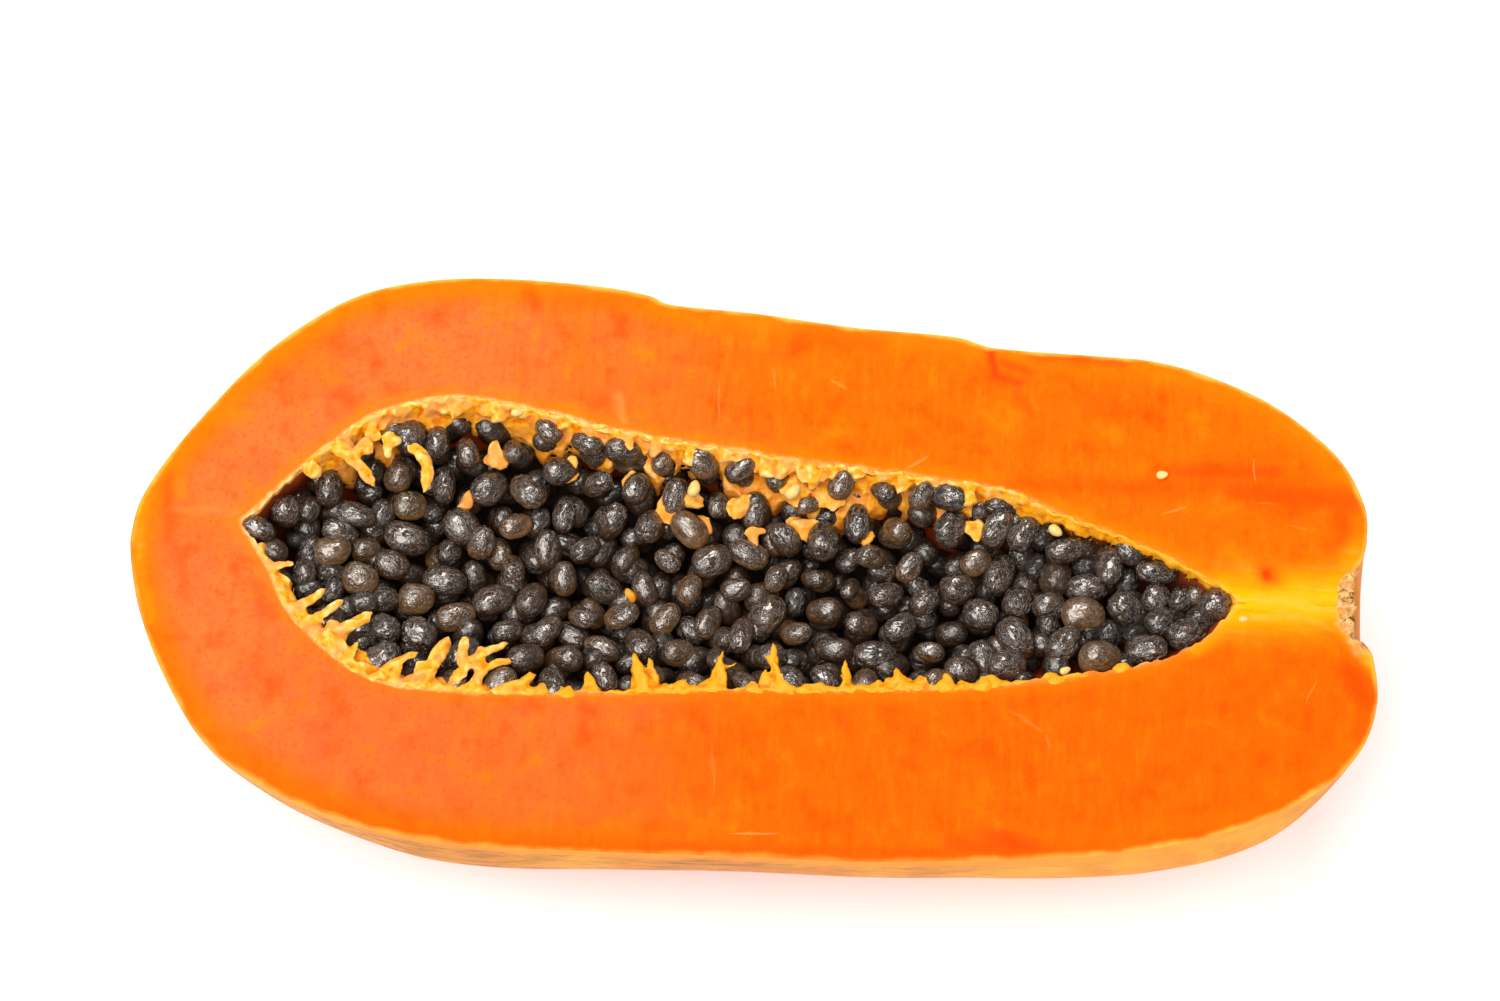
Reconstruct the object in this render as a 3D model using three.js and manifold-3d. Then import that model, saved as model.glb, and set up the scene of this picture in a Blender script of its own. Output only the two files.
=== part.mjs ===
// A papaya cut in half lengthwise, lying on its skin with the cut face up and its seeds still in.
//
// Units are millimetres, +Z is up and +X runs from the blossom end to the stem end. The fruit is first
// shaped in its own frame: x from the blossom tip along the fruit's axis, y across the cut face, and
// z = 0 on the cut face. The group then moves it so that the origin is under the middle of its box.
import * as THREE from "three";
import { mergeVertices } from "three/addons/utils/BufferGeometryUtils.js";
import Module from "manifold-3d";

// ---- driving dimensions --------------------------------------------------------------------------

const STEM_X = 244; // where the middle of the stem's scar lies on the axis
const FLAT_CUT = 0.8; // thickness that the resting spot takes off the rounded underside
const LOBES = 5; // a papaya grows from five carpels, which show as faint ridges
const LOBE_HEIGHT = 0.035; // share of the radius by which a ridge stands out at the stem end
const LOBE_START = 0.3; // how much of that it has at the blossom end
const CAVITY_LOBE = 0.05; // the same five lobes in the cavity's wall, as a share of its radius

const SEED_COUNT = 150; // the top layer of seeds
const SEED_LENGTH = 8.0;
const SEED_WIDTH = 6.4;
const SEED_SIZES = [0.88, 1.12]; // smallest and largest, as shares of the usual size
const SEED_SLANT = 0.75; // steepest slant of a seed's long axis, in radians
const SEED_LIFT = 1.1; // how far a seed lies above or below its neighbours at most
const SEED_SPACING = 8.0; // from middle to middle, as they lie packed
const SEED_INSET = 2.3; // how near a seed's middle comes to the cavity's edge
const TIP_ROOM = [2.5, 3]; // the same at the cavity's blossom and stem ends
const RIM_DROP = 2.4; // depth of a seed's middle below the cut face at the cavity's edge
const FULL_WIDTH = 8; // half width of the cavity below which the seeds rise towards its two ends
const VALLEY_SHARE = 0.27; // further depth along the middle, as a share of the cavity's half width
const BED_SINK = 0.2; // how far the core's upper face lies under the middles of the top seeds
const GAP = 0.35; // clearance between the flesh and the seed mass

const STRAND_LENGTH = 6.5; // strands of placenta that stand out of the cavity's edge
const STRAND_LENGTHS = [0.65, 1.35]; // shortest and longest, as shares of the usual length
const STRAND_RADIUS = 1.5; // at the root
const STRAND_TAPER = 0.45; // share of the radius that is lost towards the tip
const STRAND_ROOT = [2.5, 3.2]; // how deep the root lies in the wall, and under the cut face
const STRAND_ELBOW = [0.35, 2.0]; // share of the length at the bend, and its depth
const STRAND_TIP_DEPTH = [0.4, 2.4]; // highest and lowest tip, under the cut face
const STRAND_SWAY = 3; // how far a tip leans to either side

// Meridians of the skin as [x, distance from the axis]: along the far rim of the cut face, down the
// keel, and along the near rim. All three start at the blossom tip and end in the stem's scar.
const FAR_RIM = [
  [0, 0], [1, 8], [5, 17], [12, 28], [21, 40], [31, 49.5], [42, 56.5], [56, 60.3], [72, 61.4],
  [90, 60.7], [100, 59.2], [105, 57.4], [122, 56.4], [142, 54.4], [162, 53.5], [171, 51.4],
  [190, 50.8], [203, 50.2], [215, 47.2], [228, 41.3], [240, 31.5], [245.5, 21.5], [246.2, 14],
  [245.2, 9], [244, 7], [STEM_X, 0],
];
const KEEL = [
  [0, 0], [1, 7], [4, 16], [10, 27.5], [20, 39], [32, 46.8], [46, 52], [64, 55.4], [88, 57.2],
  [112, 57.8], [136, 57.6], [160, 56.3], [182, 53.6], [202, 49.5], [220, 43.3], [234, 35.5],
  [243, 26], [246.5, 17], [245.8, 10], [243.6, 7.5], [STEM_X, 0],
];
const NEAR_RIM = [
  [0, 0], [1, 6], [3.5, 15], [9, 27], [18, 40.4], [29, 48.4], [42, 54.2], [58, 58.2], [75, 59.7],
  [98, 59.6], [128, 59.1], [150, 58.8], [170, 57.4], [190, 55.5], [206, 52.8], [223, 47.4],
  [236, 40.3], [245, 31], [248.3, 21], [247.6, 12], [246, 8.5], [244, 7], [STEM_X, 0],
];

// Edges of the seed cavity on the cut face as [x, y], and its floor as [x, depth].
const CAVITY_FAR = [
  [22, 5], [30, 14.2], [38, 22.5], [47, 30], [57, 33.3], [67, 34.2], [78, 32.4], [92, 29.5],
  [112, 26.5], [142, 23.5], [163, 21.5], [174, 20.2], [185, 15.6], [203, 9.2], [213, 4.5], [221, -1],
];
const CAVITY_NEAR = [
  [22, 5], [25, 1], [29, -5], [33, -12.5], [40, -19.5], [48, -24.7], [57, -27.2], [70, -27.8],
  [90, -27.2], [115, -25], [145, -23.4], [170, -21.4], [190, -18], [205, -14], [214, -9], [221, -1],
];
const CAVITY_FLOOR = [
  [22, 0], [26, 7], [33, 15], [44, 23], [58, 28], [76, 30], [100, 29], [130, 26.5], [158, 23],
  [182, 17.5], [202, 11], [214, 5.5], [221, 0],
];

// Stretches of the cavity's edge that carry strands.
const STRAND_ROWS = [
  { far: false, from: 29, to: 82, count: 13 },
  { far: false, from: 90, to: 186, count: 9 },
  { far: true, from: 31, to: 62, count: 7 },
  { far: true, from: 78, to: 172, count: 9 },
];

// Fineness of the faceted surfaces: steps along the fruit and steps around it.
const SKIN_STEPS = [50, 36];
const CAVITY_STEPS = [36, 16];
const BED_STEPS = [16, 12];
const STRAND_STEPS = [5, 5];

const wasm = await Module();
wasm.setup();

// ---- helpers -------------------------------------------------------------------------------------

// A repeatable run of numbers: draw(low, high) gives the next one in that range.
function makeDraw(seed) {
  const [factor, modulus] = [16807, 2147483647];
  let state = seed;
  return (low, high) => {
    state = (state * factor) % modulus;
    return low + (high - low) * (state / modulus);
  };
}

// A smooth curve through the points, read by its share of arc length.
function curveThrough(points) {
  const curve = new THREE.SplineCurve(points.map(([a, b]) => new THREE.Vector2(a, b)));
  curve.arcLengthDivisions = 800;
  return (share) => curve.getPointAt(THREE.MathUtils.clamp(share, 0, 1));
}

// The second coordinate of a curve at a given x, for a curve whose x only grows.
function heightAlong(curve, samples = 400) {
  const line = Array.from({ length: samples + 1 }, (_, i) => curve(i / samples));
  return (x) => {
    const next = line.findIndex((point, i) => i > 0 && (point.x >= x || i === samples));
    const [before, after] = [line[next - 1], line[next]];
    const share = (x - before.x) / Math.max(after.x - before.x, 1e-9);
    return THREE.MathUtils.lerp(before.y, after.y, THREE.MathUtils.clamp(share, 0, 1));
  };
}

// A closed skin over surface(share, angle), which comes to a point at both ends.
function closedSurface(surface, [lengthSteps, roundSteps]) {
  const points = [surface(0, 0)];
  for (let i = 1; i < lengthSteps; i++)
    for (let j = 0; j < roundSteps; j++)
      points.push(surface(i / lengthSteps, (j / roundSteps) * 2 * Math.PI));
  points.push(surface(1, 0));
  const last = points.length - 1;
  const at = (ring, j) => 1 + (ring - 1) * roundSteps + (j % roundSteps);
  const faces = [];
  for (let j = 0; j < roundSteps; j++) {
    faces.push(0, at(1, j + 1), at(1, j));
    for (let i = 1; i < lengthSteps - 1; i++) {
      faces.push(at(i, j), at(i, j + 1), at(i + 1, j));
      faces.push(at(i + 1, j), at(i, j + 1), at(i + 1, j + 1));
    }
    faces.push(at(lengthSteps - 1, j), at(lengthSteps - 1, j + 1), last);
  }
  return new THREE.BufferGeometry().setFromPoints(points).setIndex(faces);
}

// A three.js geometry as a solid that can be joined and cut.
function solidOf(geometry) {
  const bare = geometry.clone();
  bare.deleteAttribute("normal");
  bare.deleteAttribute("uv");
  const merged = mergeVertices(bare, 1e-4);
  const made = new wasm.Manifold(
    new wasm.Mesh({
      numProp: 3,
      vertProperties: new Float32Array(merged.attributes.position.array),
      triVerts: new Uint32Array(merged.index.array),
    }),
  );
  if (made.volume() > 0) return made;
  for (let i = 0; i < merged.index.count; i += 3) {
    const [b, c] = [merged.index.getX(i + 1), merged.index.getX(i + 2)];
    merged.index.setX(i + 1, c);
    merged.index.setX(i + 2, b);
  }
  return solidOf(merged);
}

// A solid's largest body as a named mesh with its own material.
function meshOf(solid, name, material) {
  const whole = solid.decompose().sort((a, b) => b.volume() - a.volume())[0];
  const { numProp, vertProperties, triVerts } = whole.getMesh();
  const positions = new Float32Array((vertProperties.length / numProp) * 3);
  for (let i = 0; i < positions.length / 3; i++)
    positions.set(vertProperties.subarray(i * numProp, i * numProp + 3), i * 3);
  const geometry = new THREE.BufferGeometry()
    .setAttribute("position", new THREE.BufferAttribute(positions, 3))
    .setIndex(new THREE.BufferAttribute(new Uint32Array(triVerts), 1));
  const mesh = new THREE.Mesh(geometry, material);
  mesh.name = name;
  return mesh;
}

// A solid box from its lowest to its highest corner.
function boxBetween(low, high) {
  const size = high.clone().sub(low);
  const middle = low.clone().add(high).multiplyScalar(0.5);
  const geometry = new THREE.BoxGeometry(size.x, size.y, size.z);
  return solidOf(geometry.translate(middle.x, middle.y, middle.z));
}

// ---- the outside of the fruit --------------------------------------------------------------------

const farRim = curveThrough(FAR_RIM);
const keel = curveThrough(KEEL);
const nearRim = curveThrough(NEAR_RIM);

// From 1 midway between two lobes to -1 on a lobe. The keel lies between two lobes.
function lobeWave(angle) {
  return Math.cos(LOBES * (angle - Math.PI / 2));
}

// Ridges swell towards the stem end and die out at the cut face, whose outline has its own bumps.
function lobeFactor(share, angle) {
  const growth = LOBE_START + (1 - LOBE_START) * share ** 2;
  return 1 - LOBE_HEIGHT * growth * Math.sin(angle) ** 2 * lobeWave(angle);
}

// Angle 0 is the far rim, a quarter turn is the keel underneath and half a turn the near rim.
function skinPoint(share, angle) {
  const rim = Math.cos(angle) > 0 ? farRim(share) : nearRim(share);
  const rimWeight = Math.cos(angle) ** 2;
  const point = keel(share).lerp(rim, rimWeight);
  const radius = point.y * lobeFactor(share, angle);
  return new THREE.Vector3(point.x, radius * Math.cos(angle), -radius * Math.sin(angle));
}

// ---- the seed cavity -----------------------------------------------------------------------------

const cavityFar = curveThrough(CAVITY_FAR);
const cavityNear = curveThrough(CAVITY_NEAR);
const cavityFloor = curveThrough(CAVITY_FLOOR);
const farEdge = heightAlong(cavityFar);
const nearEdge = heightAlong(cavityNear);
const [cavityStart, cavityEnd] = [CAVITY_FAR[0], CAVITY_FAR.at(-1)];
const cavityLength = cavityEnd[0] - cavityStart[0];
const cavityMiddleX = (cavityStart[0] + cavityEnd[0]) / 2;

// The line from one end of the cavity to the other on the cut face.
function cavityMiddle(x) {
  return THREE.MathUtils.lerp(cavityStart[1], cavityEnd[1], (x - cavityStart[0]) / cavityLength);
}

// The cavity's wall, drawn in by an inset, with angles as on the skin.
function cavityPoint(share, angle, inset = 0) {
  const rim = Math.cos(angle) > 0 ? cavityFar(share) : cavityNear(share);
  const floor = cavityFloor(share);
  const rimWeight = Math.cos(angle) ** 2;
  const x = THREE.MathUtils.lerp(floor.x, rim.x, rimWeight);
  const reach = THREE.MathUtils.lerp(floor.y, Math.abs(rim.y - cavityMiddle(rim.x)), rimWeight);
  const lobes = 1 + CAVITY_LOBE * Math.sin(angle) ** 2 * lobeWave(angle);
  const radius = Math.max(reach * lobes - inset, 0);
  const shrink = 1 - (2 * inset) / cavityLength;
  return new THREE.Vector3(
    cavityMiddleX + (x - cavityMiddleX) * shrink,
    cavityMiddle(x) + radius * Math.cos(angle),
    -radius * Math.sin(angle),
  );
}

// How far a point lies from the cavity's middle line towards its edge, from 0 to 1.
function edgeShare(x, y) {
  const middle = cavityMiddle(x);
  const reach = y > middle ? farEdge(x) - middle : middle - nearEdge(x);
  return THREE.MathUtils.clamp(Math.abs(y - middle) / Math.max(reach, 1), 0, 1);
}

// The height at which the middles of the top seeds lie: just under the cut face at the edge and
// lower along the middle, where the whole fruit was hollow.
function bedHeight(x, y) {
  const halfWidth = (farEdge(x) - nearEdge(x)) / 2;
  const rimDrop = RIM_DROP * Math.min(1, halfWidth / FULL_WIDTH);
  return -rimDrop - VALLEY_SHARE * halfWidth * (1 - edgeShare(x, y) ** 2);
}

// ---- the seeds -----------------------------------------------------------------------------------

// Moves a seed's place into the part of the cavity that seeds can reach.
function keepInCavity(place) {
  const [low, high] = [cavityStart[0] + TIP_ROOM[0], cavityEnd[0] - TIP_ROOM[1]];
  place.x = THREE.MathUtils.clamp(place.x, low, high);
  const [near, far] = [nearEdge(place.x) + SEED_INSET, farEdge(place.x) - SEED_INSET];
  place.y = far > near ? THREE.MathUtils.clamp(place.y, near, far) : (near + far) / 2;
}

// Places spread evenly over the cavity, by steps of the plastic number's inverse powers.
function spreadPlaces() {
  const plastic = 1.32471795724;
  const lowest = Math.min(...CAVITY_NEAR.map(([, y]) => y));
  const highest = Math.max(...CAVITY_FAR.map(([, y]) => y));
  const places = [];
  for (let k = 1; places.length < SEED_COUNT; k++) {
    const x = cavityStart[0] + ((k / plastic) % 1) * cavityLength;
    const y = lowest + ((k / plastic ** 2) % 1) * (highest - lowest);
    if (y > nearEdge(x) + SEED_INSET && y < farEdge(x) - SEED_INSET) places.push({ x, y });
  }
  return places;
}

// The spread places, pushed apart until the seeds lie packed.
function seedPlaces() {
  const [rounds, pushShare] = [60, 0.3];
  const places = spreadPlaces();
  for (let round = 0; round < rounds; round++) {
    const pushes = places.map((place) => {
      const push = { x: 0, y: 0 };
      for (const other of places) {
        const [dx, dy] = [place.x - other.x, place.y - other.y];
        const distance = Math.hypot(dx, dy);
        if (distance < 1e-6 || distance > SEED_SPACING) continue;
        push.x += (pushShare * (SEED_SPACING - distance) * dx) / distance;
        push.y += (pushShare * (SEED_SPACING - distance) * dy) / distance;
      }
      return push;
    });
    places.forEach((place, i) => {
      place.x += pushes[i].x;
      place.y += pushes[i].y;
      keepInCavity(place);
    });
  }
  return places;
}

// One seed: an egg, lying at a drawn slant, of a drawn size.
function seedSolid(place, draw) {
  const size = draw(...SEED_SIZES);
  const turn = draw(0, Math.PI);
  const slant = draw(-SEED_SLANT, SEED_SLANT);
  const height = bedHeight(place.x, place.y) + draw(-SEED_LIFT, SEED_LIFT);
  const egg = new THREE.OctahedronGeometry(0.5, 1);
  egg.scale(size * SEED_LENGTH, size * SEED_WIDTH, size * SEED_WIDTH);
  egg.rotateY(slant).rotateZ(turn);
  return solidOf(egg.translate(place.x, place.y, height));
}

// The space over the seeds' bed, wider and longer than the cavity, with its roof above the fruit.
function spaceOverBed() {
  const [overhang, roof] = [1.2, 60];
  const surface = (share, angle) => {
    const wall = cavityPoint(share, angle);
    const middleY = cavityMiddle(wall.x);
    const x = cavityMiddleX + (wall.x - cavityMiddleX) * overhang;
    const y = middleY + (wall.y - middleY) * overhang;
    const height = Math.sin(angle) > 0 ? bedHeight(x, y) - BED_SINK : roof;
    return new THREE.Vector3(x, y, height);
  };
  return solidOf(closedSurface(surface, BED_STEPS));
}

// ---- the placenta's strands ----------------------------------------------------------------------

// A strand as a curved, tapering finger from inside the wall towards the middle and up.
function strandSolid(x, far, draw, swell) {
  const edge = far ? farEdge(x) : nearEdge(x);
  const inward = far ? -1 : 1;
  const length = STRAND_LENGTH * draw(...STRAND_LENGTHS);
  const sway = draw(-STRAND_SWAY, STRAND_SWAY);
  const tipDepth = draw(...STRAND_TIP_DEPTH);
  const path = new THREE.QuadraticBezierCurve3(
    new THREE.Vector3(x, edge - inward * STRAND_ROOT[0], -STRAND_ROOT[1]),
    new THREE.Vector3(x + sway / 3, edge + inward * length * STRAND_ELBOW[0], -STRAND_ELBOW[1]),
    new THREE.Vector3(x + sway, edge + inward * length, -tipDepth),
  );
  const surface = (share, angle) => {
    const ahead = path.getTangent(share);
    const side = new THREE.Vector3(0, 0, 1).cross(ahead).normalize();
    const up = ahead.clone().cross(side);
    const roundEnds = Math.sqrt(Math.max(0, 1 - (2 * share - 1) ** 6));
    const radius = (STRAND_RADIUS * (1 - STRAND_TAPER * share) + swell) * roundEnds;
    return path
      .getPoint(share)
      .addScaledVector(ahead, swell * (2 * share - 1))
      .addScaledVector(side, radius * Math.cos(angle))
      .addScaledVector(up, radius * Math.sin(angle));
  };
  return solidOf(closedSurface(surface, STRAND_STEPS));
}

// Every strand as one solid, thickened by a swell where the seeds have to keep clear of them.
function allStrands(swell) {
  const draw = makeDraw(4711);
  const strands = STRAND_ROWS.flatMap(({ far, from, to, count }) =>
    Array.from({ length: count }, (_, i) => {
      const x = from + ((to - from) * (i + draw(0.1, 0.9))) / count;
      return strandSolid(x, far, draw, swell);
    }),
  );
  return wasm.Manifold.union(strands);
}

// ---- putting it together -------------------------------------------------------------------------

function cavitySolid(inset) {
  return solidOf(closedSurface((share, angle) => cavityPoint(share, angle, inset), CAVITY_STEPS));
}

// The whole fruit, halved, hollowed and trimmed to its resting spot, with the strands grown on.
function fleshSolid() {
  const whole = solidOf(closedSurface(skinPoint, SKIN_STEPS));
  const box = whole.boundingBox();
  const low = new THREE.Vector3(...box.min).subScalar(1);
  const high = new THREE.Vector3(...box.max).addScalar(1);
  const otherHalf = boxBetween(new THREE.Vector3(low.x, low.y, 0), high);
  const restingHeight = box.min[2] + FLAT_CUT;
  const underside = boxBetween(low, new THREE.Vector3(high.x, high.y, restingHeight));
  return whole
    .subtract(otherHalf)
    .subtract(underside)
    .subtract(cavitySolid(0))
    .add(allStrands(0));
}

// The seeds, grown together through a core that fills the cavity beneath them.
function seedMass() {
  const draw = makeDraw(20231);
  const seeds = seedPlaces().map((place) => seedSolid(place, draw));
  const room = cavitySolid(GAP);
  const core = room.subtract(spaceOverBed());
  return wasm.Manifold.union([core, ...seeds]).intersect(room).subtract(allStrands(GAP));
}

const fleshMaterial = new THREE.MeshStandardMaterial({ color: 0xf66a0c, roughness: 0.45, metalness: 0 });
const seedMaterial = new THREE.MeshStandardMaterial({ color: 0x231d18, roughness: 0.3, metalness: 0 });

const flesh = fleshSolid();
const papaya = new THREE.Group();
papaya.name = "papaya";
papaya.add(meshOf(flesh, "papaya_half", fleshMaterial));
papaya.add(meshOf(seedMass(), "seeds", seedMaterial));

const { min, max } = flesh.boundingBox();
papaya.position.set(-(min[0] + max[0]) / 2, -(min[1] + max[1]) / 2, -min[2]);

export default papaya;
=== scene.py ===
import math

import bpy
import numpy as np
from mathutils import Matrix, Vector, noise


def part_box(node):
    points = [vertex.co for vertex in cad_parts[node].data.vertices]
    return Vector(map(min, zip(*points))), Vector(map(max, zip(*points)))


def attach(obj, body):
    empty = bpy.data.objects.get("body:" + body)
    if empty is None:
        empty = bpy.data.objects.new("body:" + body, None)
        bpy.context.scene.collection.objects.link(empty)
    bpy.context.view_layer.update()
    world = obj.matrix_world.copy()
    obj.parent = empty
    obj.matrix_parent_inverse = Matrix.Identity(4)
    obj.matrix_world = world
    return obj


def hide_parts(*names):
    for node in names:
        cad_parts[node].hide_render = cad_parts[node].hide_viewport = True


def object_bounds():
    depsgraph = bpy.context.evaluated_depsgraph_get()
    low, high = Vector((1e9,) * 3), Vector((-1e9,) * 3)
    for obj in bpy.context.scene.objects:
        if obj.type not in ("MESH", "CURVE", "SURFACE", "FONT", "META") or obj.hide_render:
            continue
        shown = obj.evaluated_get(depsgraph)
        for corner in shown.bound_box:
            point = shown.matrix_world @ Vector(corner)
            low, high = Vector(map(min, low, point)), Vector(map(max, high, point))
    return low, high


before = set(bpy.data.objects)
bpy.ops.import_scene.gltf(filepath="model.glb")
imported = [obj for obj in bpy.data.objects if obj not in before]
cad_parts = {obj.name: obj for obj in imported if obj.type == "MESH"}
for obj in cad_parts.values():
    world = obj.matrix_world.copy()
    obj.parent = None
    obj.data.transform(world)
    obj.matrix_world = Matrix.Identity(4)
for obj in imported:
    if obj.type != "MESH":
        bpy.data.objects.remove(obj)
cad_low, cad_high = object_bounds()

# ---- driving dimensions, as in the construction ----

STEM_X = 244.0  # where the middle of the stem's scar lies on the axis
LOBES = 5
LOBE_HEIGHT = 0.035
LOBE_START = 0.3
CAVITY_LOBE = 0.05

SEED_COUNT = 150
SEED_LENGTH = 8.0
SEED_WIDTH = 6.4
SEED_SIZES = (0.88, 1.12)
SEED_SLANT = 0.75
SEED_LIFT = 1.1
SEED_SPACING = 8.0
SEED_INSET = 2.3
TIP_ROOM = (2.5, 3.0)
RIM_DROP = 2.4
FULL_WIDTH = 8.0
VALLEY_SHARE = 0.27

FAR_RIM = [
    (0, 0), (1, 8), (5, 17), (12, 28), (21, 40), (31, 49.5), (42, 56.5), (56, 60.3), (72, 61.4),
    (90, 60.7), (100, 59.2), (105, 57.4), (122, 56.4), (142, 54.4), (162, 53.5), (171, 51.4),
    (190, 50.8), (203, 50.2), (215, 47.2), (228, 41.3), (240, 31.5), (245.5, 21.5), (246.2, 14),
    (245.2, 9), (244, 7), (STEM_X, 0),
]
KEEL = [
    (0, 0), (1, 7), (4, 16), (10, 27.5), (20, 39), (32, 46.8), (46, 52), (64, 55.4), (88, 57.2),
    (112, 57.8), (136, 57.6), (160, 56.3), (182, 53.6), (202, 49.5), (220, 43.3), (234, 35.5),
    (243, 26), (246.5, 17), (245.8, 10), (243.6, 7.5), (STEM_X, 0),
]
NEAR_RIM = [
    (0, 0), (1, 6), (3.5, 15), (9, 27), (18, 40.4), (29, 48.4), (42, 54.2), (58, 58.2), (75, 59.7),
    (98, 59.6), (128, 59.1), (150, 58.8), (170, 57.4), (190, 55.5), (206, 52.8), (223, 47.4),
    (236, 40.3), (245, 31), (248.3, 21), (247.6, 12), (246, 8.5), (244, 7), (STEM_X, 0),
]
CAVITY_FAR = [
    (22, 5), (30, 14.2), (38, 22.5), (47, 30), (57, 33.3), (67, 34.2), (78, 32.4), (92, 29.5),
    (112, 26.5), (142, 23.5), (163, 21.5), (174, 20.2), (185, 15.6), (203, 9.2), (213, 4.5),
    (221, -1),
]
CAVITY_NEAR = [
    (22, 5), (25, 1), (29, -5), (33, -12.5), (40, -19.5), (48, -24.7), (57, -27.2), (70, -27.8),
    (90, -27.2), (115, -25), (145, -23.4), (170, -21.4), (190, -18), (205, -14), (214, -9),
    (221, -1),
]
CAVITY_FLOOR = [
    (22, 0), (26, 7), (33, 15), (44, 23), (58, 28), (76, 30), (100, 29), (130, 26.5), (158, 23),
    (182, 17.5), (202, 11), (214, 5.5), (221, 0),
]

# ---- helpers ----


def make_draw(seed):
    """A repeatable run of numbers: draw(low, high) gives the next one in that range."""
    state = seed

    def draw(low=0.0, high=1.0):
        nonlocal state
        state = state * 16807 % 2147483647
        return low + (high - low) * state / 2147483647

    return draw


def spline_at(points, t):
    """Points of a Catmull-Rom spline at parameters t from 0 to 1."""
    points = np.array(points, float)
    last = len(points) - 1
    along = np.clip(t, 0, 1) * last
    i = np.minimum(along.astype(int), last - 1)
    w = (along - i)[..., None]
    before, start = points[np.maximum(i - 1, 0)], points[i]
    end, after = points[i + 1], points[np.minimum(i + 2, last)]
    v0, v1 = (end - before) / 2, (after - start) / 2
    cubic = (2 * start - 2 * end + v0 + v1) * w**3
    return cubic + (3 * end - 3 * start - 2 * v0 - v1) * w**2 + v0 * w + start


def curve_through(points, divisions=800):
    """A smooth curve through the points, read by its share of arc length."""
    t = np.linspace(0, 1, divisions + 1)
    steps = np.linalg.norm(np.diff(spline_at(points, t), axis=0), axis=1)
    lengths = np.concatenate([[0], np.cumsum(steps)])

    def read(share):
        share = np.clip(np.asarray(share, float), 0, 1)
        return spline_at(points, np.interp(share * lengths[-1], lengths, t))

    return read


def height_along(curve, samples=400):
    """The second coordinate of a curve at a given x, for a curve whose x only grows."""
    line = curve(np.linspace(0, 1, samples + 1))
    return lambda x: np.interp(x, line[:, 0], line[:, 1])


def read(table, x):
    """A table of (x, value) pairs, read at x."""
    return np.interp(x, *np.array(table, float).T)


def smoothstep(low, high, value):
    """From 0 at low to 1 at high, which may be the smaller of the two."""
    share = np.clip((np.asarray(value, float) - low) / (high - low), 0, 1)
    return share * share * (3 - 2 * share)


def noise_at(points, size, shift=0.0, octaves=1):
    """Noise from about -1 to 1 at each point, with features of the given size."""
    total = np.zeros(len(points))
    for octave in range(octaves):
        scaled = points * (2**octave / size) + shift + 17.3 * octave
        total += np.array([noise.noise(Vector(p)) for p in scaled]) / 2**octave
    return total


def distance_to(points, line):
    """Distance from each 2-D point to the nearest point of a fine line."""
    found = np.empty(len(points))
    block = 2000
    for i in range(0, len(points), block):
        gaps = points[i : i + block, None, :] - line[None, :, :]
        found[i : i + block] = np.sqrt((gaps**2).sum(2).min(1))
    return found


# ---- the fruit's surfaces ----

far_rim, keel, near_rim = map(curve_through, (FAR_RIM, KEEL, NEAR_RIM))
cavity_far, cavity_near, cavity_floor = map(curve_through, (CAVITY_FAR, CAVITY_NEAR, CAVITY_FLOOR))
far_edge, near_edge = height_along(cavity_far), height_along(cavity_near)
CAVITY_START, CAVITY_END = CAVITY_FAR[0], CAVITY_FAR[-1]
CAVITY_LENGTH = CAVITY_END[0] - CAVITY_START[0]


def lobe_wave(angle):
    """From 1 midway between two lobes to -1 on a lobe. The keel lies between two lobes."""
    return np.cos(LOBES * (angle - math.pi / 2))


def skin_point(share, angle):
    """Angle 0 is the far rim, a quarter turn is the keel underneath and half a turn the near rim."""
    share, angle = np.broadcast_arrays(np.asarray(share, float), np.asarray(angle, float))
    far = np.cos(angle)[..., None] > 0
    rim = np.where(far, far_rim(share), near_rim(share))
    weight = np.cos(angle)[..., None] ** 2
    point = keel(share) * (1 - weight) + rim * weight
    growth = LOBE_START + (1 - LOBE_START) * share**2
    lobes = 1 - LOBE_HEIGHT * growth * np.sin(angle) ** 2 * lobe_wave(angle)
    radius = point[..., 1] * lobes
    return np.stack([point[..., 0], radius * np.cos(angle), -radius * np.sin(angle)], -1)


def cavity_middle(x):
    """The y of the line from the cavity's one end to the other."""
    share = (x - CAVITY_START[0]) / CAVITY_LENGTH
    return CAVITY_START[1] + (CAVITY_END[1] - CAVITY_START[1]) * share


def cavity_point(share, angle):
    """The cavity's wall, with angles as on the skin."""
    share, angle = np.broadcast_arrays(np.asarray(share, float), np.asarray(angle, float))
    far = np.cos(angle)[..., None] > 0
    rim = np.where(far, cavity_far(share), cavity_near(share))
    floor = cavity_floor(share)
    weight = np.cos(angle) ** 2
    x = floor[..., 0] * (1 - weight) + rim[..., 0] * weight
    rim_reach = np.abs(rim[..., 1] - cavity_middle(rim[..., 0]))
    reach = floor[..., 1] * (1 - weight) + rim_reach * weight
    radius = reach * (1 + CAVITY_LOBE * np.sin(angle) ** 2 * lobe_wave(angle))
    y = cavity_middle(x) + radius * np.cos(angle)
    return np.stack([x, y, -radius * np.sin(angle)], -1)


def edge_reach(x, is_far):
    """How far the cavity's edge lies from its middle line, on the far or the near side."""
    middle = cavity_middle(x)
    return np.where(is_far, far_edge(x) - middle, middle - near_edge(x))


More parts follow.
